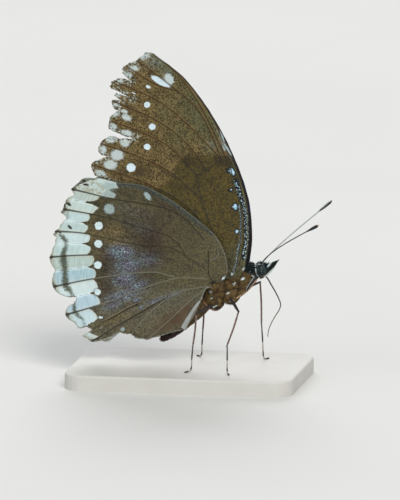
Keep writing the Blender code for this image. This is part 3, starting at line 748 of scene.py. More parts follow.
# The dark wavy line behind the margin: forward, up and half its width.
WAVY_LINE = ((-28.6, 12.2, 0.04), (-28.5, 11.2, 0.06), (-28.9, 9.8, -0.3), (-29.9, 8.1, 0.1),
    (-29.7, 7.5, 0.34), (-29.1, 6.9, 0.4), (-28.85, 6.2, 0.32), (-28.9, 5.4, 0.34), (-29.25, 4.6, 0.52),
    (-29.35, 3.6, 0.64), (-29.3, 2.5, 0.66), (-29.1, 0.9, 0.5), (-28.95, -1.6, 0.6), (-28.6, -2.5, 0.6),
    (-28, -3.2, 0.42), (-27.5, -4.1, 0.28), (-27.3, -6.5, 0.34), (-26.9, -7.5, 0.38), (-25.8, -8.3, 0.18),
    (-25.3, -9.5, 0.1))
print("band shades:", len(BAND_SHADES))

# %% Marks of the hindwing
# Each is given forward, up, half length, half width and turn. Soft ones add a strength.
HIND_BITES = ((-19.4, 16.75, 1.1, 0.36, -10, 1.2), (-18, 18.2, 0.9, 0.6, 0, 0.8))
HIND_SPOTS = ((-22.5, 9.7, 0.84, 0.84, 20), (-22.6, 6.2, 0.82, 0.8, 0), (-22.7, 2.1, 0.8, 0.76, 0),
    (-22.75, -3.15, 0.68, 0.62, 30), (-22.1, -8, 0.42, 0.34, 0), (-22, -10, 0.26, 0.2, 0),
    (2.08, 0.82, 0.6, 0.3, 53))
HIND_PATCHES = {
    "faint": ((-20.4, 13.1, 0.95, 0.9, 0, 1.6), (-17.8, -10.1, 0.5, 0.35, 20, 1.2),
        (-12.9, 15.9, 0.9, 0.45, -50, 1.4), (-20.3, 17.6, 1.9, 0.9, -4, 0.9),
        (-19.9, 16.2, 1.4, 0.55, -15, 0.55)),
    # Blue: a painted bluish sheen in the cells.
    "blue": ((-18.1, 4.7, 2.4, 1.4, -3, 1), (-16.8, 2.4, 2.6, 1.2, 4, 0.8),
        (-17.5, -0.5, 2.2, 1.3, 8, 0.95), (-17.6, -3.6, 3.4, 1, 18, 0.85), (-15, -1.6, 2.2, 1, 16, 0.7),
        (-19.8, -5.6, 2.2, 0.9, 24, 0.5), (-17.2, 1, 2.6, 4.2, 0, 0.45), (-15.1, -4.4, 0.8, 0.3, 12, 1.2),
        (-14.3, -5.85, 0.35, 0.3, 0, 1.2), (-11.6, -4.35, 2.5, 0.36, 23, 0.6),
        (-8.4, -3.1, 2.4, 0.4, 24, 0.5), (-13.6, 3.4, 3, 1.6, 0, 0.4), (-14.5, 9.9, 4, 1.4, -20, 0.15),
        (-15.6, 12.9, 3.6, 1.3, -14, 0.14)),
    "warm": ((-9.7, 3.1, 1.8, 1, 10, 0.5), (-15, 13.4, 3.6, 1.5, -16, 0.3), (-19.9, 8.6, 3, 1.8, -10, 1),
        (-18.9, 6.5, 2.8, 1, -8, 1), (-23.2, 8, 1.5, 3, 0, 0.8), (-22, 4.2, 1.4, 1.2, 0, 0.5),
        (-10.6, 8.8, 3.2, 3.4, 20, 0.35), (-9, -8.6, 3.6, 1.7, 30, 0.5), (-19.6, -8.4, 3.2, 0.7, 25, 0.9),
        (-17, -10.4, 3, 1.2, 0, 0.5)),
    # Dark patches darken the ground; the one at -15.4, -4.9 is painted shadow in the notch under the
    # crease.
    "dark": ((-12.3, 8.2, 3.4, 3.6, 0, 1.2), (-12, 4.4, 2.6, 2.4, 0, 1), (-9.2, 14.2, 2.8, 0.8, -22, 0.9),
        (-21, 2.2, 1.6, 3, 0, 1), (-20.9, -3, 2, 2.6, 0, 0.95), (-15.4, -4.9, 0.9, 0.45, 25, 1),
        (-14.2, 0.8, 2.2, 1.6, 0, 0.5), (-17.2, -5.6, 2.4, 0.6, 22, 0.7), (-13.5, -6.3, 5, 0.2, 30, 0.9),
        (-4.4, 8, 1.6, 2.4, 20, 0.4)),
    "bare": ((-7.2, -7.4, 2.6, 1.5, 28, 1), (-5.4, -5.6, 1.6, 0.9, 48, 1), (-9.8, -9, 2, 0.9, 30, 0.8)),
    # Black marks, mostly painted shade: in the notch under the crease and in tears and gaps at the
    # margin.
    "black": ((-15.1, -5.15, 0.5, 0.22, 33, 1.2), (-29.2, 13.4, 0.22, 1.1, 10, 0.9),
        (-17.8, -10.1, 0.16, 0.13, 0, 1.3), (-24.8, 17.6, 0.7, 0.17, -8, 1.5),
        (-25.2, 18.4, 0.4, 0.2, 10, 1.4), (-28.3, 13.7, 0.55, 0.26, -35, 1.5),
        (-28.1, 9.25, 0.6, 0.22, -40, 1.6), (-30, 8.1, 0.5, 0.16, -50, 1)),
}
HIND_CREASE = ((-23.4, -9.9), (-21.8, -8.8), (-20.6, -8.2), (-19, -7.3), (-16.8, -5.9), (-15.1, -5.1))
# Tone of each vein, from dark at -1 to pale at 1. At 0 it takes the colour of the ground.
HIND_TONES = {"humeral": -1, "humeral_spur": 0.6, "radius": -0.6, "media_1": -0.45, "media_2": -0.4,
    "media_3": -0.2, "cubitus_1": 0.6, "cubitus_2": 0.8, "postcubitus": -0.7, "anal_2": 0.9,
    "anal_3": 0.8}
print("soft marks:", sum(len(marks) for marks in HIND_PATCHES.values()))

# %% Hindwing fields


def hind_fields():
    flat, fields, half_cell = shared_fields(HIND, HIND_CUT, HIND_TONES, HIND_SPOTS, HIND_PATCHES)
    across = 2.0 * fields["span"] - 1.0
    lobe = np.sqrt(np.clip(1 - across * across, 0, 1))
    notch = NOTCH_DEPTH * np.exp(-(fields["fold"] / NOTCH_WIDTH) ** 2)
    reach = np.array(BAND_REACH).ravel()[half_cell] - LOBE_ROUNDING * (1 - lobe) - notch
    fields["band"] = reach - fields["edge"] - BITE_DEPTH * glow_field(flat, HIND_BITES)
    fields["upper"] = -beside(flat, HIND["veins"]["radius"])[2]
    fields["shade"] = np.array(BAND_SHADES)[np.minimum(half_cell, len(BAND_SHADES) - 1)]
    wavy = smooth_path(WAVY_LINE, 0.3)
    gap, along, _ = measure(flat, wavy[:, :2])
    fields["line"] = np.interp(along, np.linspace(0, 1, len(wavy)), wavy[:, 2]) - gap
    fields["crease"] = beside(flat, HIND_CREASE)[2]
    return fields


HIND_FIELDS = hind_fields()
print("hindwing fields:", ", ".join(HIND_FIELDS))

# %% Forewing fields
# Marks are given as on the hindwing.
FORE_SPOTS = ((-15.3, 36.75, 2.3, 0.66, -26), (-17.8, 35.65, 0.55, 0.36, -20), (-18, 32.2, 0.66, 0.6, 30),
    (-17, 28, 0.7, 0.66, 0), (-18, 24.1, 0.7, 0.62, -20), (-21.1, 20, 0.92, 0.86, 0),
    (-1.2, 0.5, 0.5, 0.26, 60), (0.95, 1.45, 0.5, 0.24, 58))
COSTAL_SPOTS = ((-1.5, 19.9, 0.82, 0.4, 118), (-2.5, 20, 0.25, 0.14, 118), (-0.75, 17.5, 0.5, 0.2, 112),
    (-1.6, 16.45, 0.3, 0.16, 50), (-2.1, 16.3, 0.14, 0.11, 0), (-0.3, 15.8, 0.26, 0.12, 95),
    (-0.85, 13.2, 0.6, 0.38, 98), (-1.5, 13.05, 0.18, 0.16, 0), (-0.5, 8.5, 0.38, 0.32, 90))
FORE_PATCHES = {
    "faint": ((-13.75, 37.3, 1, 0.72, -60, 1.8), (-24.2, 30.3, 0.9, 0.7, 0, 1),
        (-22, 29.6, 1.1, 0.6, -20, 1.2), (-22.4, 30.75, 0.8, 0.4, -10, 1.2), (-24, 32, 0.8, 0.5, 0, 1.1),
        (-24.6, 27.7, 0.8, 0.9, 0, 1.1), (-21.9, 26.6, 1.3, 0.6, -15, 1.2), (-25.1, 25.3, 1, 0.8, 0, 1.2),
        (-22.3, 24.8, 1, 0.9, 0, 1.3), (-26.5, 23.2, 0.7, 0.9, 0, 1.2), (-23.8, 22.3, 1.2, 1, 0, 1.5),
        (-25.1, 20.4, 1.3, 0.9, 0, 1.4), (-27.1, 18.7, 1.2, 0.6, -10, 1.3), (-20.6, 39.1, 1.2, 0.7, 0, 1),
        (-18.4, 41.5, 1.4, 0.6, 20, 0.9), (-22.9, 40.2, 0.9, 0.6, 0, 1), (-21.7, 37.8, 1, 0.5, 0, 1.1),
        (-23.2, 36.5, 0.9, 0.5, 0, 1), (-23.6, 33.9, 0.9, 0.5, 0, 0.9)),
    "grey": ((-3.2, 25.4, 0.2, 2.6, 27, 1.2), (-2.5, 25, 0.12, 1.8, 25, 0.9),
        (-4.3, 27.6, 0.14, 1.6, 28, 0.9), (-16, 40.8, 2.2, 1.2, 20, 0.6), (-5, 24.9, 1.8, 1, 0, 0.22),
        (-14.2, 38.6, 1.4, 0.8, 30, 0.25)),
    "olive": ((-11.8, 26.8, 2.4, 2.6, 0, 0.6), (-14.5, 31.2, 2, 3, 0, 0.45),
        (-6.9, 30, 3.9, 8.2, 38, 0.9), (-4.6, 25, 2.6, 2.8, 0, 0.85), (-14.3, 39.6, 3.8, 2, 135, 0.85)),
    "dark": ((-1.7, 2.8, 1.1, 0.16, -55, 1.3), (-3.3, 21.9, 1.8, 1.2, 0, 1),
        (-19.3, 19.4, 1.8, 1.4, 0, 0.9), (-22.6, 19, 1.4, 1, 0, 0.7), (-16.9, 33.9, 0.3, 1.4, 20, 0.7),
        (-7.5, 18.4, 3.6, 2, 0, 0.4), (-2.2, 21.6, 1, 1.4, 20, 0.6), (-21.5, 31.6, 1.4, 0.4, -20, 1),
        (-20.4, 29.2, 2.2, 0.3, -14, 0.8), (-10.2, 21.9, 2.8, 1.4, -30, 0.8),
        (-1.4, 2.6, 0.35, 1.4, 35, 0.8), (-14.9, 19.6, 2.6, 0.7, -40, 0.5), (-16, 24.4, 1.4, 1, 0, 0.3)),
    "shine": ((-3.7, 27.4, 0.17, 2.3, 18, 1.3), (-2.45, 24.2, 0.17, 1.5, 33, 1.4),
        (-3.2, 24.6, 0.15, 1.6, 23, 1.3), (-6.6, 31.6, 0.1, 2, 30, 0.4)),
}
# The half that the hindwing used to cover lies below this edge.
ZONE_EDGE = ((4, 23.2), (-1.9, 23), (-7.7, 22.9), (-10.4, 22.7), (-11.6, 21.8), (-12.6, 20.2),
    (-13.3, 18.1), (-14.9, 17), (-16.2, 15.9), (-18.5, 12))
DOTTED_BAND = ((-0.8, 18.2), (-0.3, 16.5), (0.1, 15.3), (0.75, 13.7), (1.1, 12.2), (1.25, 10.7),
    (1.35, 8.7), (1.35, 6.8), (1.15, 5.4), (1, 3.6))
BLUE_LINE = ((-0.2, 13.6), (0.2, 11.8), (0.25, 9.7), (0.2, 6.8), (-0.2, 5.3), (-0.55, 2.6), (-0.95, 0.8))


def fore_fields():
    flat, fields, _ = shared_fields(FORE, FORE_CUT, {}, FORE_SPOTS, FORE_PATCHES)
    fields["ringed"] = spot_field(flat, COSTAL_SPOTS)
    fields["zone"] = measure(flat, np.array(ZONE_EDGE))[2]
    fields["dots"] = beside(flat, DOTTED_BAND)[0]
    fields["line"] = beside(flat, BLUE_LINE)[0]
    return fields


FORE_FIELDS = fore_fields()
print("forewing fields:", ", ".join(FORE_FIELDS))

# %% [markdown]
# ### Building a wing
# The same triangles serve both faces, a tenth of a millimetre apart, so the membrane closes
# round its rim. Veins rise on the outer face and a little on the inner one. Folds sink in
# the middle of each cell, and the worn edge curls.

# %% Wing meshes
MEMBRANE = 0.1
VEIN_RISE, VEIN_RISE_IN, VEIN_ROUND, VEIN_TAPER = 0.15, 0.06, 0.13, 0.45
FOLD_DEPTH, FOLD_WIDTH, FOLD_START = 0.07, 0.3, (0.25, 0.6)
WAVE_HEIGHT, WAVE_LENGTH, WAVE_START = 0.09, 6.0, (1.0, 6.0)
CURL, CURL_WIDTH, CURL_LENGTH, CURL_START = 0.2, 1.3, 3.0, (8.0, 14.0)
CREASE_RISE, CREASE_WIDTH = 0.32, 1.3
# The far wings are turned back by a hair, in radians, so that they close behind the near ones.
SETTLE = {"forewing_left_membrane": 0.006, "hindwing_left_membrane": 0.013}
MAP_MARGIN, MAP_RIM, MAP_FLOOR, MAP_SPAN, MAP_GAP = 0.01, 0.012, 0.03, 0.96, 2.0


def bell(values, width):
    return np.exp(-(values / width) ** 2)


def wing_relief(flat, fields, seed):
    """How far each point leaves the smooth lean, and the height of its vein."""
    shift = waves(flat, seed, WAVE_LENGTH) * WAVE_HEIGHT * fade(*WAVE_START, fields["root"])
    shift -= FOLD_DEPTH * fade(*FOLD_START, fields["along"]) * bell(fields["fold"], FOLD_WIDTH)
    curled = (1 - fade(0, CURL_WIDTH, fields["torn"])) * fade(*CURL_START, fields["root"])
    shift += CURL * waves(flat, seed + 1, CURL_LENGTH) * curled
    if "crease" in fields:
        shift += CREASE_RISE * bell(fields["crease"], CREASE_WIDTH) * (fields["crease"] > 0)
    return shift, bell(fields["vein"], VEIN_ROUND) * (1 - VEIN_TAPER * fields["along"] ** 3)


def rim_edges(faces):
    """Edges that only one of the faces uses."""
    borders = {}
    for corners in faces:
        for start, end in zip(corners, corners[1:] + corners[:1]):
            if (end, start) in borders:
                del borders[end, start]
            else:
                borders[start, end] = True
    return list(borders)


def wing_map(flat, triangles, rims):
    """Both faces side by side, at one scale, and the rim as a strip below them."""
    low, high = flat.min(0), flat.max(0)
    scale = MAP_SPAN / max(2.0 * (high - low)[0] + MAP_GAP, (high - low)[1])
    spread = (flat - low) * scale + (MAP_MARGIN, MAP_FLOOR)
    turned = spread * (-1.0, 1.0) + (1.0, 0.0)
    cuts = np.linspace(MAP_MARGIN, 1 - MAP_MARGIN, len(rims) + 1)
    strip = [corner for left, right in zip(cuts, cuts[1:])
             for corner in ((right, 0.0), (left, 0.0), (left, MAP_RIM), (right, MAP_RIM))]
    return np.vstack((spread[triangles.ravel()], turned[triangles[:, ::-1].ravel()], strip))


print("relief helpers ready")

# %% Wing builder


def build_wing(name, side, plan, cut, lean, fields, finishes, seed):
    flat, triangles, *_ = cut
    place = np.stack(turned(*flat.T, SETTLE.get(name, 0)), axis=1) + plan["hinge"]
    shift, rise = wing_relief(flat, fields, seed)
    middle = lean(place) + shift
    outer = middle + MEMBRANE / 2 + VEIN_RISE * rise
    inner = middle - MEMBRANE / 2 - VEIN_RISE_IN * rise
    points = np.vstack([np.stack((place[:, 0], side * depth, place[:, 1]), axis=1)
                        for depth in (outer, inner)]) * MM
    count = len(flat)
    rims = rim_edges(triangles.tolist())
    faces = triangles.tolist() + (triangles[:, ::-1] + count).tolist()
    faces += [(end, start, start + count, end + count) for start, end in rims]
    bake = wing_map(flat, triangles, rims)
    if side > 0:
        starts = np.cumsum([0] + [len(face) for face in faces])
        bake = np.vstack([bake[a:b][::-1] for a, b in zip(starts, starts[1:])])
        faces = [tuple(face)[::-1] for face in faces]
    mesh = bpy.data.meshes.new(name)
    mesh.from_pydata(points.tolist(), [], faces)
    for finish in finishes:
        mesh.materials.append(finish)
    order = np.arange(len(faces)) // len(triangles)
    mesh.polygons.foreach_set("material_index", (order == 1).astype(int))
    mesh.polygons.foreach_set("use_smooth", order < 2)
    for field, values in fields.items():
        store(mesh, field, np.concatenate((values, values)))
    mesh.uv_layers.new(name="OFBake").data.foreach_set("uv", bake.ravel())
    mesh.update()
    return new_object(name, mesh)


def hand_over(piece, slot, *nodes):
    """The piece rides on the still body and stands for the named solids."""
    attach(piece, "root")
    if nodes:
        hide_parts(*nodes)
    return piece


print("wing builder ready")

# %% [markdown]
# ### The underside of the hindwing
# The ground is olive near the body, brown in the middle and smoky outside, with a painted blue
# sheen in the cells. A white band runs round it in paired lobes, with a dark wavy line behind the
# margin. Fine streaks fan out from the hinge, and every tint breaks up into specks. Shade and
# highlights are painted along the folds, the crease and the edges.

# %% Shared wing paints and the white band
SCALE_BUMP = 0.02


def wing_paints(name, speck_share):
    """A wing finish with the grain, the ragged edges and the scale rows that all share."""
    nodes = new_finish(name, 0.75, specular=0.15, sheen=0.04)
    nodes.plan = nodes.attribute("plan", 1)
    speck = nodes.group(WING_SCALES, {"Place": nodes.plan}, "Speck")
    nodes.rows = speck.also("Height")
    nodes.cloud = nodes.noise(0.45, nodes.plan, 4)
    nodes.streak = nodes.noise(2.4, nodes.attribute("fan", 1), 3)
    nodes.ragged = (nodes.noise(3.2, nodes.plan, 3) - 0.5) * 0.5
    nodes.grain = speck * speck_share + nodes.cloud * 0.3 + nodes.streak * (0.7 - speck_share)
    return nodes


def paint_band(nodes, edge, reach, fold):
    """The white band: one shade a cell, worn at the margin, darker in the top cell and with painted
    highlights beside the folds.
    """
    get, step, near, mix, _ = nodes.tools()
    wrinkle = nodes.noise(1, nodes.vectors(get("fan", 1), (7.5, 0.5, 0), "MULTIPLY"))
    pale = mix(step(wrinkle, 0.34, 0.66) * 0.32, get("shade", 0), (0.66, 0.78, 0.81))
    worn = nodes.patches(1.3, 2, 0.4, 0.6) * 0.5 + 0.25
    upper = get("upper")
    top = step(upper, 0, 0.3)
    for mask, paint in (
            # Painted highlight beside each fold.
            (near(fold, 0.2, 0.14, 0.04) * 0.5, (0.66, 0.77, 0.8)),
            (near(get("vein"), 0.3, 0.16, 0.05) * 0.4, (0.56, 0.54, 0.4)),
            (step(reach, 0.5, 0.12) * 0.35, (0.52, 0.47, 0.34)),
            (step(edge + nodes.ragged, 1.3, 0.4) * worn, (0.35, 0.33, 0.21)),
            (top * nodes.patches(1, 4, 0.47, 0.56) * 0.8, (0.36, 0.37, 0.28)),
            (top * nodes.patches(1.7, 3, 0.58, 0.66) * 0.75, (0.2, 0.165, 0.105)),
            (near(upper, 0.75, 0.75, 0.45) * step(edge, 3.4, 4.2) * 0.85, (0.28, 0.35, 0.34))):
        pale = mix(mask, pale, paint)
    return pale


print("wing paints ready")

# %% Hindwing underside


def paint_hind_under():
    nodes = wing_paints("hindwing_under", 0.3)
    get, step, near, mix, lay = nodes.tools()
    cloud, streak, ragged, grain = nodes.cloud, nodes.streak, nodes.ragged, nodes.grain
    edge, root, costal, reach = map(get, ("edge", "root", "costal", "band"))
    fold, spot, blue = map(get, ("fold", "spot", "blue"))
    mottle = step(grain, 0.34, 0.66)
    blotch = step(nodes.noise(2.6, nodes.plan, 3) * 0.5 + grain * 0.5, 0.38, 0.62)
    nodes.colour = mix(blotch, (0.048, 0.044, 0.032), (0.122, 0.104, 0.047))
    low = step(nodes.part(nodes.plan, "Y") + cloud * 2, 0.4, -2.2)
    for mask, pattern, dark, light in (
            (step(root + cloud * 5, 9, 17) * 0.9, mottle, (0.03, 0.028, 0.018), (0.088, 0.076, 0.038)),
            (low * 0.9, blotch, (0.052, 0.051, 0.038), (0.145, 0.128, 0.08)),
            (get("warm") * 0.85, mottle, (0.062, 0.044, 0.02), (0.195, 0.15, 0.068)),
            (get("dark") * 0.7, mottle, (0.022, 0.015, 0.014), (0.058, 0.036, 0.022)),
            (step(blue, 0.1, 0.6) * 0.6, mottle, (0.036, 0.036, 0.052), (0.092, 0.1, 0.118))):
        lay(mask, mix(pattern, dark, light))
    # Painted sheen in the blue cells: a bluish tint, then pale painted highlight flecks.
    glint = nodes.noise(3.4, nodes.plan)
    sheen_tint = mix(step(cloud, 0.42, 0.58), (0.205, 0.2, 0.285), (0.2, 0.285, 0.335))
    lay(blue * step(glint + grain * 0.6, 0.68, 0.94) * 0.9, sheen_tint)
    lay(blue * step(glint + streak * 0.4, 0.8, 0.92) * 0.85, (0.42, 0.52, 0.57))
    lay(get("bare"), mix(cloud, (0.06, 0.038, 0.022), (0.115, 0.072, 0.046)))
    band = step(reach + ragged * 0.4, -0.08, 0.1)
    lay(band, paint_band(nodes, edge, reach, fold))
    wavy = step(get("line") + ragged * 0.9 + (grain - 0.5) * 1.3, -0.34, 0.3)
    lay(wavy * 0.92, mix(mottle, (0.034, 0.04, 0.022), (0.086, 0.095, 0.056)))
    corner = step(get("vein"), 0.7, 0.1) * 0.4
    lay(step(edge + ragged * 0.8 - corner, 0.46, 0.2) * 0.8, (0.065, 0.052, 0.032))
    # Painted highlight along the torn margin, where the thin edge catches the light.
    lay(step(get("torn") + ragged, 0.26, 0.08) * 0.6, (0.34, 0.35, 0.29))
    lay(step(get("faint") + ragged * 1.8, 0.25, 0.75) * 0.85, (0.33, 0.43, 0.43))
    lay(step(spot, -0.5, -0.05) * 0.4, (0.05, 0.036, 0.022))
    lay(step(spot + ragged * 1.1, -0.04, 0.14), (0.58, 0.7, 0.72))
    white = step(band + step(spot, -0.1, 0.1), 0.2, 0.8)
    # Painted shade in the fold down the middle of each cell: blue-grey on white, dark brown elsewhere.
    fold_shade = step(fold, 0.11, 0.03) * step(edge, 12, 8)
    lay(fold_shade * 0.65, mix(white, (0.085, 0.075, 0.048), (0.2, 0.26, 0.29)))
    outward = step(root, 6, 12) * (band * -1 + 1)
    stripe = step(costal + ragged * 0.6, 1.05, 0.75) * outward
    lay(stripe * 0.75, mix(mottle, (0.026, 0.032, 0.032), (0.062, 0.072, 0.062)))
    lay(stripe * nodes.patches(2.4, 3, 0.58, 0.66) * 0.6, (0.13, 0.145, 0.125))
    # Painted highlight along the front edge.
    lay(step(costal, 0.24, 0.1) * step(root, 9, 14) * 0.7, (0.12, 0.125, 0.075))
    lay(step(costal + step(root, 5, 9) * 0.06, 0.17, 0.07) * 0.85, (0.022, 0.019, 0.014))
    # Black marks, mostly painted shade in the notch under the crease and in tears at the margin.
    lay(step(get("black") + ragged * 0.5, 0.3, 0.7) * 0.95, (0.014, 0.012, 0.01))
    tone = get("tone") - band * 2
    gap = get("vein") - band * (step(edge, 4, 0.3) * 0.07 + 0.04)
    vein = mix(step(tone, 0.2, 0.6), (0.022, 0.019, 0.013), (0.15, 0.15, 0.11))
    lay(step(gap, 0.15, 0.05) * step(abs(tone), 0, 0.6) * 0.85, vein)
    # Painted shadow under the crease and a painted highlight on its raised edge.
    crease, folded = get("crease"), step(root, 23.8, 22.4)
    lay(near(crease, -0.12, 0.26, 0.06) * folded * 0.7, (0.022, 0.017, 0.012))
    lay(near(crease, 0.11, 0.11, 0.03) * folded * 0.8, (0.25, 0.215, 0.13))
    return closed(nodes, nodes.rows, SCALE_BUMP)


HIND_UNDER = paint_hind_under()
print("finish:", HIND_UNDER.name)

# %% [markdown]
# ### The underside of the forewing and the upper side
# The outer half of the forewing is a warm mottled brown with an olive front. The half towards
# the body is plain brown, where the hindwing used to cover it. Near the front edge lies a
# black stripe with tiny blue-white dots. Painted shade lies in the folds. The upper sides face
# inwards and are nearly black, with a faint painted blue sheen.

# %% Forewing underside


def paint_fore_under():
    nodes = wing_paints("forewing_under", 0.4)
    get, step, near, mix, lay = nodes.tools()
    ragged, grain = nodes.ragged, nodes.grain
    costal, dots, ringed, edge = map(get, ("costal", "dots", "ringed", "edge"))
    mottle = step(grain, 0.36, 0.64)
    zone = step(get("zone") + ragged, -0.35, 0.45)
    nodes.colour = mix(mottle, (0.044, 0.031, 0.012), (0.19, 0.138, 0.055))
    coarse = nodes.patches(2.3, 3, 0.54, 0.66)
    lay(coarse * 0.45, (0.04, 0.031, 0.016))
    lay(get("olive") * 0.95, mix(mottle, (0.036, 0.042, 0.022), (0.104, 0.108, 0.052)))
    lay(coarse * get("olive") * 0.3, (0.034, 0.042, 0.024))
    lay(zone, mix(mottle, (0.036, 0.029, 0.014), (0.098, 0.074, 0.02)))
    lay(zone * step(get("root"), 8, 3) * 0.8, mix(mottle, (0.045, 0.046, 0.026), (0.104, 0.1, 0.05)))
    lay(get("dark") * 0.7, (0.026, 0.019, 0.013))
    lay(get("grey") * step(grain, 0.25, 0.6) * 0.8, (0.28, 0.33, 0.31))
    lay(step(get("faint") + ragged * 2.6, 0.3, 0.8) * 0.88, (0.5, 0.58, 0.58))
    outer = step(costal, 0.8, 1.6) * step(edge, 9, 6)
    frayed = step(get("torn") + ragged * 1.5, 1.2, 0.2) * outer
    lay(frayed * nodes.patches(1.9, 5, 0.5, 0.57) * 0.85, (0.45, 0.5, 0.45))
    lay(frayed * nodes.patches(2.7, 5, 0.53, 0.6) * 0.8, (0.03, 0.028, 0.022))
    lay(step(get("spot") + ragged * 0.5, -0.04, 0.12), (0.58, 0.7, 0.76))
    # Painted shade in the fold down the middle of each cell.
    lay(step(get("fold"), 0.11, 0.03) * step(edge, 10, 7) * 0.35, (0.06, 0.048, 0.028))
    lay(step(dots + ragged * 0.5, 0.58, 0.42) * 0.96, (0.007, 0.009, 0.012))
    lay(step(ringed + ragged * 0.3, -0.26, -0.08) * 0.9, (0.01, 0.013, 0.016))
    bead, small_bead = (nodes.cells(scale, nodes.plan, flat=True) for scale in (2.5, 2.9))
    lay(step(bead, 0.35, 0.19) * step(dots, 0.46, 0.32), (0.4, 0.56, 0.64))
    line = get("line") + ragged * 0.2
    lay(step(line, 0.3, 0.12) * 0.75, (0.075, 0.088, 0.094))
    lay(step(line, 0.26, 0.1) * step(small_bead, 0.38, 0.22) * 0.85, (0.3, 0.4, 0.46))
    bright = mix(nodes.patches(2.6, 1, 0.42, 0.58), (0.22, 0.42, 0.56), (0.5, 0.68, 0.78))
    lay(step(ringed + ragged * 0.3, -0.03, 0.08), bright)
    lay(near(costal, 0.34, 0.15, 0.05) * 0.7, (0.125, 0.125, 0.062))
    lay(step(costal, 0.2, 0.1) * 0.85, (0.02, 0.02, 0.014))
    vein = get("vein")
    lay(near(vein, 0.16, 0.12, 0.04) * (zone * -0.4 + 0.4), (0.16, 0.09, 0.03))
    lay(step(vein, 0.13, 0.05) * 0.85, mix(zone, (0.02, 0.014, 0.008), (0.026, 0.025, 0.02)))
    lay(step(get("shine") + ragged, 0.35, 0.75) * 0.85, (0.36, 0.45, 0.46))
    return closed(nodes, nodes.rows, SCALE_BUMP)


def paint_upper():
    nodes = wing_paints("wing_upper", 0.4)
    get, step, _, mix, lay = nodes.tools()
    black = mix(nodes.grain, (0.008, 0.007, 0.007), (0.03, 0.024, 0.022))
    # Nearly black, with patches of a painted blue sheen.
    nodes.colour = mix(step(nodes.cloud, 0.45, 0.7), black, (0.016, 0.018, 0.042))
    edge = get("edge")
    lay(step(edge, 5, 2) * nodes.grain * 0.6, (0.16, 0.13, 0.11))
    lay(step(edge + nodes.ragged, 2.6, 1.6) * 0.9, (0.54, 0.6, 0.58))
    lay(step(get("spot"), -0.05, 0.12), (0.58, 0.66, 0.7))
    return closed(nodes, nodes.rows, SCALE_BUMP)


FORE_UNDER, UPPER = paint_fore_under(), paint_upper()
print("finishes:", FORE_UNDER.name, UPPER.name)

# %% Both pairs of wings
WAVE_SEEDS = {"right": 11, "left": 23}
for name, side in SIDES.items():
    for kind, plan, cut, lean, fields, under in (
            ("forewing", FORE, FORE_CUT, fore_lean, FORE_FIELDS, FORE_UNDER),
            ("hindwing", HIND, HIND_CUT, hind_lean, HIND_FIELDS, HIND_UNDER)):
        wing = build_wing(f"{kind}_{name}_membrane", side, plan, cut, lean, fields,
                          (under, UPPER), WAVE_SEEDS[name])
        hand_over(wing, "wing", f"{kind}_{name}")
        print(wing.name, len(wing.data.polygons), "faces")

# %% [markdown]
# ## Body
# Head, palps, thorax and abdomen are one skin. Each could be a mesh of its own, but then seams
# would show where they meet. Here they are drawn as plain closed forms that overlap, from the
# sizes of the solids less the depth of the coat. A voxel remesh turns them into one surface,
# which is then relaxed, grooved and marked.

# %% Shells
BODY_STEP, BODY_SIDES = 0.3, 28


class Shell:
    """Collects closed parts and values at their points. The field lie holds directions."""

    def __init__(self, *fields):
        self.points, self.faces = [], []
        self.fields = {field: [] for field in fields}

    def add(self, points, faces, **values):
        start, count = len(self.points), len(points)
        self.points += [tuple(point) for point in points]
        self.faces += [[corner + start for corner in face] for face in faces]
        for field in self.fields:
            size = (count, 3) if field == "lie" else count
            self.fields[field] += list(np.broadcast_to(values.get(field, 0.0), size))

    def mesh(self, name):
        mesh = bpy.data.meshes.new(name)
        mesh.from_pydata(self.points, [], self.faces)
        for field, values in self.fields.items():
            store(mesh, field, np.array(values, float))
        form = bmesh.new()
        form.from_mesh(mesh)
        bmesh.ops.recalc_face_normals(form, faces=form.faces)
        form.to_mesh(mesh)
        form.free()
        shade_smooth(mesh)
        return mesh


def one_part(name, points, faces, **values):
    """The mesh of a single closed part."""
    shell = Shell(*values)
    shell.add(points, faces, **values)
    return shell.mesh(name)


def shade_smooth(mesh, smooth=True):
    mesh.polygons.foreach_set("use_smooth", np.full(len(mesh.polygons), smooth))


def rings(count, sides):
    """Faces of a closed tube of rings: quads along it and a cap at each end."""
    faces = [(ring * sides + side, ring * sides + (side + 1) % sides,
              (ring + 1) * sides + (side + 1) % sides, (ring + 1) * sides + side)
             for ring in range(count - 1) for side in range(sides)]
    return faces + [tuple(range(sides))[::-1], tuple(range((count - 1) * sides, count * sides))]


print("shells ready")

# %% Closed forms in millimetres


def loft(stations, spread=0.0, less=0.0):
    """A form through ovals given as forward, up, half width and reach above and below."""
    path = smooth_path(stations, BODY_STEP)
    heading = headings(path[:, :2])
    rise = left_of(heading) * np.sign(heading[:, :1])
    points = []
    for (forward, up, half, above, below), (lift_x, lift_z) in zip(path, rise):
        for angle in round_angles(BODY_SIDES):
            reach = math.sin(angle) * ((above if angle < math.pi else below) - less)
            points.append((forward + lift_x * reach, spread + math.cos(angle) * (half - less),
                           up + lift_z * reach))
    return points, rings(len(path), BODY_SIDES)


def pitched(centre, spread, u, v, pitch):
    """A place from its distances along and across an axis that rises with the pitch."""
    ahead, above = turned(u, v, pitch)
    return centre[0] + ahead, spread, centre[2] + above


def on_side(places, side):
    """Places that are given for the left, moved to this side."""
    return np.array(places) * (1, side, 1)


def ellipsoid(centre, radii, pitch=0.0, rows=20, sides=BODY_SIDES):
    """A pitched ellipsoid. Its nose rises with the pitch."""
    points = []
    for polar in np.arange(1, rows) * math.pi / rows:
        for turn in round_angles(sides):
            spread = centre[1] + radii[1] * math.sin(polar) * math.cos(turn)
            points.append(pitched(centre, spread, radii[0] * math.cos(polar),
                                  radii[2] * math.sin(polar) * math.sin(turn), pitch))
    return points, rings(rows - 1, sides)


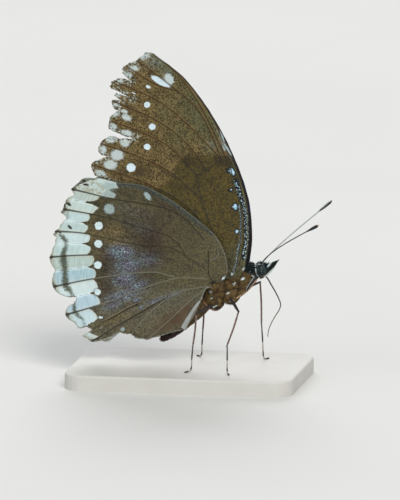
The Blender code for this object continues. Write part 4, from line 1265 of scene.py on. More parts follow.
def tube(path, radii, sides=12, lobes=1.0):
    """A round form along a path: its points and faces. Lobes change the radius round it."""
    path = np.array(path, float)
    ahead_all = headings(path)
    side = np.cross(ahead_all[0], (0.0, 1.0, 0.0))
    turns = zip(round_angles(sides), np.broadcast_to(lobes, sides))
    turns = [(math.cos(angle), math.sin(angle), lobe) for angle, lobe in turns]
    points = []
    for place, ahead, radius in zip(path, ahead_all, np.broadcast_to(radii, len(path))):
        side = unit(side - ahead * (side @ ahead))
        lift = np.cross(ahead, side)
        points += [place + (side * u + lift * v) * radius * lobe for u, v, lobe in turns]
    return np.array(points), rings(len(path), sides)


print("form helpers ready")

# %% Forms of the body
COAT_DEPTH, PALP_COAT = 0.2, 0.08
PITCH = math.radians(26.0)
HEAD_CENTRE, HEAD_RADII = (13.95, 0.0, 21.75), (1.3, 1.3, 1.5)
EYE_CENTRE, EYE_RADII = (14.0, 1.25, 21.9), (1.08, 0.85, 1.2)
EYE_RIM, EYE_RIM_SPREAD, EYE_RIM_RADIUS = (1.02, 1.14), 1.18, 0.14
THORAX = ((3, 16.7, 0.8, 1, 0.9), (3.7, 17, 1.65, 2, 1.8), (5.4, 17.7, 2.1, 3.1, 2.8),
    (7.4, 18.6, 2.3, 3.7, 3.3), (9.3, 19.5, 2.2, 3.7, 3.1), (11, 20.4, 1.85, 3, 2.5),
    (12.2, 21, 1.35, 2.1, 1.9), (12.9, 21.4, 0.8, 1.3, 1.1))
ABDOMEN_SIZES = ((1.1, 1.2, 1.1), (1.75, 1.9, 1.7), (2, 2.15, 1.95), (2, 2.05, 1.9), (1.6, 1.6, 1.55),
    (1.05, 1.05, 1.05), (0.5, 0.5, 0.5))
ABDOMEN = np.hstack((ABDOMEN_AXIS, ABDOMEN_SIZES))
WAIST = ((1.8, 14.2, 1.75, 1.9, 1.7), (3.4, 15.6, 1.6, 1.8, 1.6), (5.2, 17, 1.9, 2.4, 2.2))
NECK = ((11.8, 20.7, 1.1, 1.4, 1.2), (13.6, 21.6, 1.1, 1.1, 1.1))
PALP = ((13.6, 20.4, 0.3, 0.5, 0.6), (14.7, 21.35, 0.42, 1.25, 0.9), (15.8, 22.45, 0.42, 0.8, 0.65),
    (16.7, 23.3, 0.28, 0.28, 0.32), (17.3, 23.85, 0.14, 0.14, 0.14))
PALP_SPREAD = 0.62
LOBES = {
    "hind_coxa": ((4.9, 0.8, 15.9), (1.75, 1.1, 2.3)),
    "mid_coxa": ((7.9, 0.8, 17.1), (1.8, 1.25, 2.2)),
    "fore_coxa": ((11, 0.7, 19.4), (1.2, 0.8, 1.6)),
    "collar": ((11.5, 0.65, 22.3), (1.15, 0.9, 0.5)),
    "forewing_root": ((9.5, 1.8, 20.5), (1.7, 0.8, 1.3)),
    "hindwing_root": ((5.6, 1.95, 18.9), (1.6, 1, 1.3)),
    "antenna_socket": ((14, 0.5, 22.85), (0.34, 0.32, 0.5)),
}
print("rounded bumps of the body:", len(LOBES))

# %% One skin for the body
SKIN_VOXEL, RELAX_ROUNDS = 0.11, 14


def raw_body():
    shell = Shell()
    for stations in (THORAX, ABDOMEN, WAIST, NECK):
        shell.add(*loft(stations, less=COAT_DEPTH))
    shell.add(*ellipsoid(HEAD_CENTRE, [radius - COAT_DEPTH / 2 for radius in HEAD_RADII], PITCH))
    for side in SIDES.values():
        shell.add(*loft(PALP, side * PALP_SPREAD, PALP_COAT))
        for centre, radii in LOBES.values():
            shell.add(*ellipsoid(on_side(centre, side), radii, PITCH))
        rim = [pitched(EYE_CENTRE, side * EYE_RIM_SPREAD, math.cos(turn) * EYE_RIM[0],
                       math.sin(turn) * EYE_RIM[1], PITCH) for turn in np.arange(33) * math.tau / 32]
        shell.add(*tube(rim, EYE_RIM_RADIUS))
    return shell.mesh("raw_body")


def as_mesh(piece):
    """The piece with its modifiers, as a plain mesh. The piece itself is removed."""
    made = bpy.data.meshes.new_from_object(
        piece.evaluated_get(bpy.context.evaluated_depsgraph_get()))
    bpy.data.objects.remove(piece)
    return made


def remeshed(mesh, voxel):
    """One closed surface round all parts of the mesh."""
    piece = new_object("raw", mesh)
    shrink = piece.modifiers.new("voxels", "REMESH")
    shrink.mode, shrink.voxel_size = "VOXEL", voxel
    return as_mesh(piece)


def read(items, key):
    """One vector for each item, as rows."""
    values = np.zeros(len(items) * 3)
    items.foreach_get(key, values)
    return values.reshape(-1, 3)


def relax(mesh, rounds):
    """Moves each point half way to the middle of its neighbours, a few times."""
    edges = np.zeros(len(mesh.edges) * 2, int)
    mesh.edges.foreach_get("vertices", edges)
    start, end = edges.reshape(-1, 2).T
    points = read(mesh.vertices, "co")
    count = np.bincount(edges, minlength=len(points))[:, None]
    for _ in range(rounds):
        total = np.zeros_like(points)
        np.add.at(total, start, points[end])
        np.add.at(total, end, points[start])
        points = (points + total / count) / 2
    mesh.vertices.foreach_set("co", points.ravel())
    mesh.update()


SKIN = remeshed(raw_body(), SKIN_VOXEL)
relax(SKIN, RELAX_ROUNDS)
print("body skin:", len(SKIN.polygons), "faces")

# %% [markdown]
# ### Plates, rings and markings of the body
# The flanks are brown plates with small white dots, parted by grooves. The back, the collar and
# the head are nearly black. The abdomen has seven rings. Places on a flank are given forward
# and up, as seen from the side, and hold for both flanks.

# %% Marks of the body
GROOVES = (((7, 20.6), (7.35, 17.9), (6.6, 15.5), (6.1, 14.2)),
    ((10.7, 21.4), (10, 19.6), (9.7, 18), (9.3, 16.6)), ((7.1, 17.6), (8.6, 18.2), (9.9, 18.3)))
GROOVE_DEPTH, GROOVE_WIDTH = 0.16, 0.14
# The three spots on the crown, from 12.9 to 14.4 forward, are painted glints of light; the rest are white
# scales.
BODY_SPOTS = ((10.9, 22.05, 0.42, 0.15, 62), (10.75, 20.3, 0.36, 0.24, 40), (9.2, 19.35, 0.34, 0.24, 70),
    (11.9, 21.5, 0.18, 0.15, 100), (4.6, 17.6, 0.34, 0.28, 0), (4.67, 16.3, 0.16, 0.14, 0),
    (7.9, 17.45, 0.26, 0.16, 20), (11.7, 22.9, 0.2, 0.14, 0), (5.45, 14.82, 0.36, 0.11, 10),
    (12.9, 22.6, 0.2, 0.16, 0), (8.46, 15.9, 0.42, 0.2, 25), (13.35, 23, 0.28, 0.22, 0),
    (14.4, 23.2, 0.3, 0.26, 0), (15.45, 22.85, 0.62, 0.22, 55), (5.15, 14.6, 0.13, 0.2, 0))
RINGED_SPOT = (5.72, 14.42, 0.36, 0.34, 0)
UNDER_EYE = (EYE_CENTRE[0], EYE_CENTRE[2], 0.95, 1.05, 0)
EYE_STREAK, STREAK_STEP = ((13.1, 22.2), (13.1, 21.7), (13.2, 21), (13.42, 20.5)), 0.2
LOWER_RIM = ((2.93, 15.84), (3.66, 14.83), (4.4, 14.2), (5.34, 13.84), (6.18, 13.96))
PIPING = ((13.05, 19.85), (12.14, 18.77), (11.27, 17.76), (9.48, 16.43))
PIPING_HALF, STREAK_HALF, RUST_EDGE = 0.17, 0.14, (0.08, 0.28)
RING_COUNT, RING_DEPTH, RING_WIDTH, RINGS_END = 8, 0.1, 0.13, (2.4, 3.4)
# Where tones begin and end: forward of the origin, above it, or above the thorax's axis.
BACK_ABOVE, BACK_START = (0.9, 2.3), (2.0, 4.0)
FRONT_START, FRONT_LEAN, FRONT_UP, FRONT_TUFTS = (10.9, 12.1), 0.35, (20.8, 21.4), (20.9, 21.9)
TAIL_END, TAIL_LEAN, TAIL_ABOVE, TAIL_FRONT = (-1.6, 0.4), 0.25, (0.4, 1.4), 3.4
PALP_START, PALP_PALE, PALP_WHITE = (14.35, 14.8), (15.3, 16.0), -0.42
HEAD_START, CROWN_START, CROWN_UP = 12.5, (12.6, 13.2), (22.2, 22.8)
TRUNK_LIE, PALP_LIE = np.array((-0.88, 0, -0.47)), np.array((0.7, 0, 0.72))
print("spots on a flank:", len(BODY_SPOTS))

# %% Body fields


def above_axis(flank, stations):
    """How far places lie above the middle line of a form."""
    return measure(flank, np.array(stations)[:, :2])[2]


def body_relief(points, normals):
    """Grooves between the plates, the place within a ring of the abdomen, and the depth."""
    flank = points[:, [0, 2]]
    near = np.min([beside(flank, line, BODY_STEP)[0] for line in GROOVES], axis=0)
    groove = bell(near, GROOVE_WIDTH) * fade(0.15, 0.5, np.abs(normals[:, 1]))
    ring = measure(flank, ABDOMEN_AXIS)[1] * RING_COUNT % 1.0
    behind = 1 - fade(*RINGS_END, points[:, 0])
    step = bell(np.minimum(ring, 1 - ring), RING_WIDTH) * behind
    return groove, ring * behind, -GROOVE_DEPTH * groove - RING_DEPTH * step


def body_fields(points, normals):
    forward, spread, up = points.T
    flank, outward = points[:, [0, 2]], np.abs(spread)
    back = fade(*BACK_ABOVE, above_axis(flank, THORAX)) * fade(*BACK_START, forward)
    front = fade(*FRONT_START, forward + FRONT_LEAN * (up - 21.0)) * fade(*FRONT_UP, up)
    low = above_axis(flank, ABDOMEN[::-1])
    tail = 1 - fade(*TAIL_END, forward - TAIL_LEAN * low)
    tail = tail + fade(*TAIL_ABOVE, low) * (forward < TAIL_FRONT)
    palp, under = fade(*PALP_START, forward), -above_axis(flank, PALP)
    streak = STREAK_HALF - beside(flank, EYE_STREAK, STREAK_STEP)[0]
    shown = outward > np.where(forward > HEAD_START, 0.25, 0.75)
    white = np.max([np.where(shown, spot_field(flank, BODY_SPOTS), -FAR),
                    np.where(outward > 0.5, streak, -FAR),
                    np.where(palp > 0.2, PALP_WHITE + under, -FAR)], axis=0)
    hidden = np.hypot(*in_mark(flank, UNDER_EYE))
    bare = ((hidden < 1.0) | (streak > -0.3)) & (outward > 0.7)
    # The painted glints on the crown are kept bare of hair.
    crown = (forward > HEAD_START) & (forward < PALP_START[1]) & (up > 22.3)
    bare = bare | ((white > -0.3) & crown)
    lie = TRUNK_LIE + (PALP_LIE - TRUNK_LIE) * palp[:, None]
    lie = lie + np.stack((0 * spread, 0.12 * np.sign(spread), 0 * spread), axis=1)
    tufted = back * fade(0, 0.7, normals[:, 2])
    tufted = tufted + fade(*CROWN_START, forward) * (1 - palp) * fade(*CROWN_UP, up)
    tufted = tufted + front * (1 - palp) * 0.7 * fade(*FRONT_TUFTS, up)
    pallid = palp * fade(-0.1, 0.4, under) * (1 - fade(*PALP_PALE, forward))
    shade = np.maximum(back, np.maximum(front, palp)) - 0.8 * pallid
    return {"shade": np.clip(shade, 0, 1), "tail": np.clip(tail, 0, 1),
            "white": white, "lie": lie, "bristly": palp,
            "piping": PIPING_HALF - beside(flank, PIPING, BODY_STEP)[0],
            "short": np.where(bare, 0.0, 1 - 0.85 * palp),
            "tufted": np.clip(tufted, 0, 1) * ~bare * (white < -0.1),
            "rust": 1 - fade(*RUST_EDGE, beside(flank, LOWER_RIM, BODY_STEP)[0]),
            "ringed": spot_field(flank, (RINGED_SPOT,))}


def dress_skin(mesh):
    points, normals = read(mesh.vertices, "co"), read(mesh.vertex_normals, "vector")
    groove, ring, depth = body_relief(points, normals)
    mesh.vertices.foreach_set("co", (points + normals * depth[:, None]).ravel())
    fields = {"groove": groove, "ring": ring, **body_fields(points, normals)}
    for field, values in fields.items():
        store(mesh, field, values)
    shade_smooth(mesh)
    return fields


BODY_FIELDS = dress_skin(SKIN)
print("body fields:", ", ".join(BODY_FIELDS))

# %% Pieces from meshes


def place_piece(name, mesh, finish):
    """An object in metres at the origin, from a mesh in millimetres."""
    mesh.transform(Matrix.Scale(MM, 4))
    mesh.name = name
    mesh.materials.clear()
    mesh.materials.append(finish)
    return new_object(name, mesh)


def unwrap(piece):
    """A map of the piece's own shape, for everything that is baked later."""
    piece.data.uv_layers.new(name="OFBake")
    bpy.context.view_layer.objects.active = piece
    bpy.ops.object.select_all(action="DESELECT")
    piece.select_set(True)
    bpy.ops.object.mode_set(mode="EDIT")
    bpy.ops.mesh.select_all(action="SELECT")
    bpy.ops.uv.smart_project(angle_limit=math.radians(66.0), island_margin=0.002)
    bpy.ops.object.mode_set(mode="OBJECT")
    piece.select_set(False)


print("piece helpers ready")

# %% [markdown]
# ### Finish of the skin and its coat
# Skin and hair take their colour from the same fields, so a white dot is white down to its
# roots. The group below mixes the brown of the flanks, the black of the back and the white
# dots, and both finishes use it with their own strength of mottling.

# %% Body colour group
SKIN_CELL, SKIN_BUMP = 9.0, 0.03


def build_body_group():
    nodes = new_group("body_colours", "ShaderNodeTree",
                      {"Place": ("Vector",), "Mottling": ("Float", 0.5)},
                      {"Colour": ("Color",)})
    place, mottling = nodes.given.values()
    get, step, _, mix, lay = nodes.tools()
    cloud, grain = nodes.noise(1.3, place, 4.0), nodes.noise(9.0, place)
    mottle = cloud + (grain - 0.5) * mottling
    patchy, piping, ring = step(mottle, 0.3, 0.7), get("piping"), get("ring")
    nodes.colour = mix(patchy, (0.04, 0.025, 0.009), (0.158, 0.102, 0.036))
    lay(get("rust") * 0.9, mix(patchy, (0.16, 0.08, 0.045), (0.5, 0.3, 0.2)))
    lay(get("tail"), mix(patchy, (0.012, 0.006, 0.006), (0.06, 0.03, 0.028)))
    black = mix(step(mottle, 0.3, 0.75), (0.002, 0.005, 0.006), (0.015, 0.029, 0.031))
    lay(step(get("shade") + (cloud - 0.5) * 0.8, 0.25, 0.75), black)
    lay(get("groove") * 0.85, (0.008, 0.006, 0.005))
    # A pale orange line along the lower front of the thorax, with painted shade just under it.
    lay(step(piping, -0.16, -0.02) * 0.7, (0.012, 0.008, 0.006))
    lay(step(piping, 0.0, 0.07) * 0.9, (0.52, 0.33, 0.19))
    lay(step(ring, 0.75, 0.97) * 0.35, (0.2, 0.15, 0.09))
    lay(step(get("ringed"), -0.05, 0.08) * 0.9, (0.008, 0.008, 0.01))
    lay(step(get("white") + (grain - 0.5) * 0.12, -0.03, 0.07), (0.66, 0.78, 0.82))
    nodes.give("Colour", nodes.colour)
    return nodes.tree


BODY_COLOURS = build_body_group()


def paint_skin():
    nodes = new_finish("body_skin", 0.65, sheen=0.03)
    place = nodes.object_mm()
    nodes.colour = nodes.group(BODY_COLOURS, {"Place": place, "Mottling": 0.4})
    return closed(nodes, nodes.cells(SKIN_CELL, place), SKIN_BUMP)


def paint_coat():
    nodes = new_finish("body_coat", 0.6, specular=0.18, sheen=0.06)
    colour = nodes.group(BODY_COLOURS, {"Place": nodes.object_mm(), "Mottling": 1.1})
    tip = nodes.mix(nodes.attribute("tip"), (0.5, 0.5, 0.5), (1.35, 1.3, 1.2))
    nodes.colour = nodes.mix(1.0, colour, tip, "MULTIPLY")
    return closed(nodes)


BODY_SKIN, BODY_COAT = paint_skin(), paint_coat()
body = place_piece("body_skin", SKIN, BODY_SKIN)
unwrap(body)
hand_over(body, "body", "head", "thorax", "abdomen", "palp_right", "palp_left")
print("finishes:", BODY_SKIN.name, BODY_COAT.name)

# %% [markdown]
# ### Hair
# Hair could be particles, but only solid mesh survives an export. A Geometry Nodes tree spreads
# points over a surface, stands a blade on each, leans it along the lie of the coat and makes
# the copies real. One tree with named inputs serves every coat, from the thorax to the legs.

# %% Blades


def blade_shape(name, rungs, bend, fan):
    """Closed blades of unit length and width. Each has three sides and ends in a point."""
    shell = Shell("tip")
    patches = []
    for turn, size, shift in fan:
        points, tips = [], []
        for rung in rungs:
            wide = 0.5 * (1 - rung) ** 0.6
            for x, y in ((-wide, 0.0), (wide, 0.0), (0.0, 0.03)):
                points.append((shift + x + turn * rung, y - bend * rung ** 2, rung * size))
                tips.append(rung)
        points.append((shift + turn, -bend, size))
        tips.append(1.0)
        last, end = 3 * (len(rungs) - 1), len(points) - 1
        *faces, foot, _ = rings(len(rungs), 3)
        faces += [(last + side, last + (side + 1) % 3, end) for side in range(3)]
        shell.add(points, faces + [foot], tip=np.array(tips))
        patches += [(0.5 + 0.3 * x, tip, 0.0) for (x, *_), tip in zip(points, tips)]
    mesh = shell.mesh(name)
    store(mesh, "patch", np.array(patches))
    shade_smooth(mesh, False)
    return new_object(name, mesh)


ONE_BLADE = ((0.0, 1.0, 0.0),)
THREE_BLADES = (*ONE_BLADE, (-1.3, 0.85, -0.3), (1.5, 0.75, 0.35))
BLADES = {
    "short": blade_shape("short_blade", (0.0, 0.55), 0.22, ONE_BLADE),
    "tuft": blade_shape("tuft_blade", (0.0, 0.5), 0.3, THREE_BLADES),
    "bristle": blade_shape("bristle_blade", (0.0, 0.4, 0.75), 0.12, ONE_BLADE),
    "spine": blade_shape("spine_blade", (0.0,), 0.0, ONE_BLADE),
}
print("blades:", {name: len(blade.data.polygons) for name, blade in BLADES.items()})

# %% Coat tree
PATCH = 0.003
COAT_SIZES = ("Density", "Length", "Width", "Raise", "Spread")


def build_coat_tree():
    nodes = new_group("coat", "GeometryNodeTree",
                      {"Surface": ("Geometry",), "Blade": ("Object",),
                       "Region": ("String",), **{name: ("Float",) for name in COAT_SIZES},
                       "Seed": ("Int",), "Finish": ("Material",)},
                      {"Coat": ("Geometry",)})
    given = nodes.given

    def named(name, kind="FLOAT_VECTOR"):
        return nodes.add("GeometryNodeInputNamedAttribute", {"Name": name}, data_type=kind)

    def chance(low, high, shift):
        return nodes.add("FunctionNodeRandomValue", {2: low, 3: high, 8: given["Seed"] + shift}, 1)

    def stored(geometry, name, value, kind, domain):
        return nodes.add("GeometryNodeStoreNamedAttribute",
                         {"Geometry": geometry, "Name": name, "Value": value},
                         data_type=kind, domain=domain)

    roots = nodes.add("GeometryNodeDistributePointsOnFaces", {
        "Mesh": given["Surface"], "Density": given["Density"] * named(given["Region"], "FLOAT"),
        "Seed": given["Seed"]})
    normal = roots.also("Normal")
    rooted = stored(roots, "root", named("OFBake"), "FLOAT_VECTOR", "POINT")
    sway = nodes.add("FunctionNodeRandomValue", {0: (-1.0, -1.0, -1.0), 1: (1.0, 1.0, 1.0),
                                                 8: given["Seed"]}, data_type="FLOAT_VECTOR")
    lean = nodes.vectors(nodes.scaled(normal, given["Raise"]), named("lie"))
    lean = nodes.vectors(lean, nodes.scaled(sway, given["Spread"]))
    lean = nodes.vectors(lean, (0.0, 0.0, 0.0), "NORMALIZE")
    turn = nodes.add("FunctionNodeAxesToRotation", {0: lean, 1: normal},
                     primary_axis="Z", secondary_axis="Y")
    long, wide = given["Length"] * chance(0.65, 1.25, 3), given["Width"] * chance(0.7, 1.2, 4)
    size = nodes.add("ShaderNodeCombineXYZ", {0: wide, 1: long, 2: long})
    blade = nodes.add("GeometryNodeObjectInfo", {"Object": given["Blade"]}, "Geometry")
    placed = nodes.add("GeometryNodeInstanceOnPoints", {
        "Points": rooted, "Instance": blade, "Rotation": turn, "Scale": size})
    real = nodes.add("GeometryNodeRealizeInstances", {"Geometry": placed})
    patch = nodes.vectors(named("root"), nodes.scaled(named("patch"), PATCH))
    mapped = stored(real, "OFBake", patch, "FLOAT2", "CORNER")
    nodes.give("Coat", nodes.add("GeometryNodeSetMaterial", {
        "Geometry": mapped, "Material": given["Finish"]}))
    return nodes.tree


COAT_TREE = build_coat_tree()


def set_inputs(modifier, **values):
    """Sets a modifier's inputs by the identifiers of its tree's sockets."""
    for item in modifier.node_group.interface.items_tree:
        if item.item_type == "SOCKET" and item.in_out == "INPUT" and item.name in values:
            modifier[item.identifier] = values[item.name]


def grow_coat(name, carrier, slot, kind, finish, region, seed, sizes):
    """Hair over a finished piece, as a piece of its own that keeps the carrier's fields."""
    ground = carrier.data.copy()
    ground.transform(Matrix.Scale(1.0 / MM, 4))
    bed = new_object("bed", ground)
    modifier = bed.modifiers.new("coat", "NODES")
    modifier.node_group = COAT_TREE
    set_inputs(modifier, Blade=BLADES[kind], Finish=finish, Region=region, Seed=seed,
               **dict(zip(COAT_SIZES, sizes)))
    mesh = as_mesh(bed)
    for spare in ("root", "patch", "lie"):
        if spare in mesh.attributes:
            mesh.attributes.remove(mesh.attributes[spare])
    hand_over(place_piece(name, mesh, finish), slot)
    print(name, len(mesh.polygons), "faces", "map" if "OFBake" in mesh.uv_layers else "no map")


# %% Coats of the body
# Name, blade, the field it grows by, and its density, length, width, raise and spread.
for seed, (name, kind, region, sizes) in enumerate((
        ("body_short_hair", "short", "short", (46.0, 0.42, 0.075, 0.16, 0.22)),
        ("body_tufts", "tuft", "tufted", (46.0, 0.8, 0.07, 0.75, 0.4)),
        ("palp_bristles", "bristle", "bristly", (110.0, 0.34, 0.05, 0.12, 0.14))), 1):
    grow_coat(name, body, "body", kind, BODY_COAT, region, seed, sizes)

# %% [markdown]
# ## Eyes
# A butterfly's eye is a dome of thousands of tiny lenses. The dome is an ellipsoid at the size
# of the solid. Its lenses are too small to model, so a cell pattern raises them in the finish,
# and a few cells catch the light as pale blue flecks. White scales line the rear rim.

# %% Eyes
EYE_ROWS, EYE_SIDES, EYE_STREAK_HALF = 48, 64, 0.15


def paint_eye():
    nodes = new_finish("eye_facets", 0.36, specular=0.22, coat=0.06)
    get, step, _, mix, lay = nodes.tools()
    place = nodes.object_mm()
    cloud = nodes.noise(1.2, place)
    nodes.colour = mix(step(cloud, 0.35, 0.7), (0.002, 0.005, 0.004), (0.01, 0.024, 0.02))
    glint = step(nodes.cells(3.1, place), 0.34, 0.16) * step(cloud, 0.36, 0.5)
    lay(glint * 0.75, (0.16, 0.28, 0.36))
    lay(step(get("streak"), -0.03, 0.06), (0.62, 0.74, 0.78))
    return closed(nodes, nodes.cells(SKIN_CELL, place), 0.02)


EYE_FACETS = paint_eye()
for name, side in SIDES.items():
    centre = on_side(EYE_CENTRE, side)
    dome = one_part("eye", *ellipsoid(centre, EYE_RADII, PITCH, EYE_ROWS, EYE_SIDES))
    rim = beside(read(dome.vertices, "co")[:, [0, 2]], EYE_STREAK, STREAK_STEP)[0]
    store(dome, "streak", EYE_STREAK_HALF - rim)
    hand_over(place_piece(f"eye_{name}_dome", dome, EYE_FACETS), "eye", f"eye_{name}")
print("eyes:", len(SIDES))

# %% [markdown]
# ## Feelers, tongue and legs
# All of these are jointed tubes. A path gives the middle line, and a list of radii swells and
# pinches it at each joint. The feelers have some forty short rings and end in clubs. They are
# nearly black, with pale scales on their inner sides.

# %% Limb finish


def paint_limb(name, dark, light, banded):
    """Dark horn with scales. The field pale says where light scales cover it."""
    nodes = new_finish(name, 0.5, specular=0.25, sheen=0.03)
    get, step, _, mix, lay = nodes.tools()
    place = nodes.object_mm()
    mottle = nodes.noise(2.5, place, 3.0) * 0.6 + nodes.noise(14.0, place) * 0.4
    nodes.colour = mix(step(mottle, 0.35, 0.7), dark, tuple(2.6 * part for part in dark))
    lay(step(get("pale") + (mottle - 0.5) * 0.9, 0.35, 0.7), light)
    lay(step(get("band"), 0.35, 0.65) * 0.85, banded)
    return closed(nodes, nodes.cells(16.0, place), 0.02)


FEELER = paint_limb("feeler_horn", (0.01, 0.011, 0.012), (0.27, 0.31, 0.31), (0.3, 0.17, 0.08))
LEG = paint_limb("leg_horn", (0.02, 0.015, 0.014), (0.24, 0.155, 0.125), (0.42, 0.38, 0.33))
TONGUE = paint_limb("tongue_horn", (0.016, 0.012, 0.01), (0.09, 0.055, 0.04), (0.1, 0.06, 0.04))
print("finishes:", FEELER.name, LEG.name, TONGUE.name)

# %% Feelers
FEELER_ROOT = (14.0, 0.5, 22.95)
FEELER_TIPS = {"right": (26.5, -9, 32.4), "left": (25.9, 9, 33.9)}
FEELER_BOW = {"right": 0.75, "left": 0.45}
FEELER_RADIUS, FEELER_CLUB, CLUB_START = 0.105, 0.31, 0.83
FEELER_RINGS, RING_STEPS, RING_PINCH, FEELER_SIDES = 44, 4, 0.14, 14
FEELER_PALE, PALE_END, TIP_START = {"right": 0.6, "left": 0.95}, (0.8, 0.86), (0.98, 0.99)
FEELER_SHARES = np.linspace(0, 1, FEELER_RINGS * RING_STEPS + 1)


def feeler_path(name, side):
    root = on_side(FEELER_ROOT, side)
    t = FEELER_SHARES[:, None]
    bow = np.array((-0.35, 0.0, 0.94)) * FEELER_BOW[name]
    return root + (np.array(FEELER_TIPS[name]) - root) * t + bow * np.sin(math.pi * t ** 0.6)


def feeler_radii():
    """A stout root, a ringed shaft and a club with a rounded end."""
    t = FEELER_SHARES
    club = fade(CLUB_START - 0.06, CLUB_START + 0.1, t)
    radii = FEELER_RADIUS + (FEELER_CLUB - FEELER_RADIUS) * club
    scape = 1.0 + 0.9 * (1 - fade(0, 0.035, t))
    end = np.sqrt(np.clip(1 - fade(0.95, 1.0, t) ** 2 * 0.93, 0, 1))
    return radii * scape * end * (1 - RING_PINCH * (np.arange(len(t)) % RING_STEPS == 0))


def build_feeler(name, side):
    path, radii = feeler_path(name, side), feeler_radii()
    points, faces = tube(path, radii, FEELER_SIDES)
    run, middle = run_along(path), np.repeat(path, FEELER_SIDES, axis=0)
    share = np.repeat(run / run[-1], FEELER_SIDES)
    inward = (middle - points)[:, 1] * side / np.repeat(radii, FEELER_SIDES)
    club = fade(*PALE_END, share)
    pale = fade(-0.1, 0.7, inward) * (1 - club) * FEELER_PALE[name]
    # Painted highlight on the top of the far feeler's club.
    if name == "left":
        pale = np.maximum(pale, 0.8 * club * (points[:, 2] - middle[:, 2] > 0.13))
    tip = fade(*TIP_START, share) * (name == "right")
    return one_part("feeler", points, faces, pale=pale, band=tip)


for name, side in SIDES.items():
    feeler = place_piece(f"feeler_{name}", build_feeler(name, side), FEELER)
    hand_over(feeler, "limb", f"antenna_{name}")
    print(feeler.name, len(feeler.data.polygons), "faces")

# %% [markdown]
# The tongue is two half pipes hooked together, so a groove runs down its front and back. Fine
# rings let it coil. It hangs in its loose bend, with its free end above the base.

# %% Tongue
TONGUE_PATH = ((14.1, 21), (15, 20.25), (15.75, 19), (16.72, 17.35), (17.45, 15.8), (17.6, 15),
    (17.3, 14.1), (16.7, 13.1), (15.9, 11.7), (15.3, 10.2), (15.1, 8.8))
TONGUE_RADIUS, TONGUE_END, TONGUE_RING, TONGUE_SIDES = 0.17, 0.085, 0.07, 16
RING_DIP, TONGUE_GROOVE, TONGUE_GROOVE_SPAN = 0.07, 0.27, 0.4


def build_tongue():
    flat = smooth_path(TONGUE_PATH, TONGUE_RING)
    path = np.stack((flat[:, 0], np.zeros(len(flat)), flat[:, 1]), axis=1)
    share = np.linspace(0, 1, len(path))
    radii = TONGUE_RADIUS + (TONGUE_END - TONGUE_RADIUS) * share
    radii *= 1 - RING_DIP * (np.arange(len(path)) % 2) - 0.5 * fade(0.985, 1.0, share)
    lobes = 1 - TONGUE_GROOVE * bell(np.sin(round_angles(TONGUE_SIDES)), TONGUE_GROOVE_SPAN)
    pale = 0.25 + 0.5 * fade(2.0, 9.0, run_along(path))
    return one_part("tongue", *tube(path, radii, TONGUE_SIDES, lobes),
                    pale=np.repeat(pale, TONGUE_SIDES), band=0.0)


hand_over(place_piece("tongue", build_tongue(), TONGUE), "limb", "proboscis")
print("tongue built")

# %% [markdown]
# Each walking leg has a stout thigh, a thin shin with two spurs, a foot of five short joints
# and a pair of claws. The front pair is folded under the neck as two small brushes, as in all
# butterflies of this family.

# %% Leg helpers
THIGH, SHIN, FOOT = (0.22, 0.31, 0.28, 0.19), (0.15, 0.18, 0.17, 0.16), (0.105, 0.14)
FOOT_JOINTS, FOOT_STEP, FOOT_SWELL = (0.46, 0.64, 0.78, 0.89, 1.0), 0.06, (0.0, 0.75, 0.93, 1.0)
PAD_RADII, HOOK_BEND, LIMB_SIDES, HOOK_SIDES = (0.13, 0.1, 0.09), 0.45, 12, 6
LEG_FIELDS = ("pale", "band", "spiny", "lie")


def limb_part(shell, path, radii, pale, band=0.0, spiny=0.0, sides=LIMB_SIDES):
    """One part with rounded ends. Its hairs lie along it."""
    radii = np.array(radii, float)
    radii[[0, -1]] *= 0.5
    shell.add(*tube(path, radii, sides), pale=pale, band=band, spiny=spiny,
              lie=np.repeat(headings(path), sides, axis=0))


print("leg helpers ready")

# %% Walking legs
# Hip, knee, ankle, heel and toe, forward of the origin, out to the side and up.
LEG_KNOTS = {
    ("midleg", "right"): ((7.9, 1.2, 16.4), (10.8, 7.2, 14.9), (8.75, 8, 8.5), (8.85, 8.45, 3.5),
        (9.4, 9.7, 3.13)),
    ("midleg", "left"): ((7.9, 1.2, 16.4), (12.7, 5.2, 18.4), (12.75, 6.4, 10.2), (13.1, 6.95, 3.5),
        (13.8, 8.1, 3.13)),
    ("hindleg", "right"): ((4.9, 1.2, 15), (2.5, 6.4, 14), (2, 7.2, 8.1), (1.65, 7.55, 3.5),
        (0.8, 8.7, 3.13)),
    ("hindleg", "left"): ((4.9, 1.2, 15), (1.6, 6.2, 14.5), (1.3, 6.9, 8.3), (0.95, 7.25, 3.5),
        (0, 8.3, 3.13)),
}
LEG_STEP, KNEE_BEAD = 0.14, 0.2
# Length, radius and sway to each side of the pair.
SPURS, CLAWS = (0.7, 0.06, 0.3), (0.42, 0.045, 0.35)


def hooks(shell, root, ahead, down, across, sizes):
    """A pair of short curved spurs or claws."""
    length, radius, sway = sizes
    t = np.linspace(0, 1, 7)[:, None]
    for turn in (-sway, sway):
        path = root + (ahead + across * turn) * length * t + down * length * HOOK_BEND * t ** 2
        limb_part(shell, path, radius * (1.05 - t[:, 0]), 0.0, sides=HOOK_SIDES)


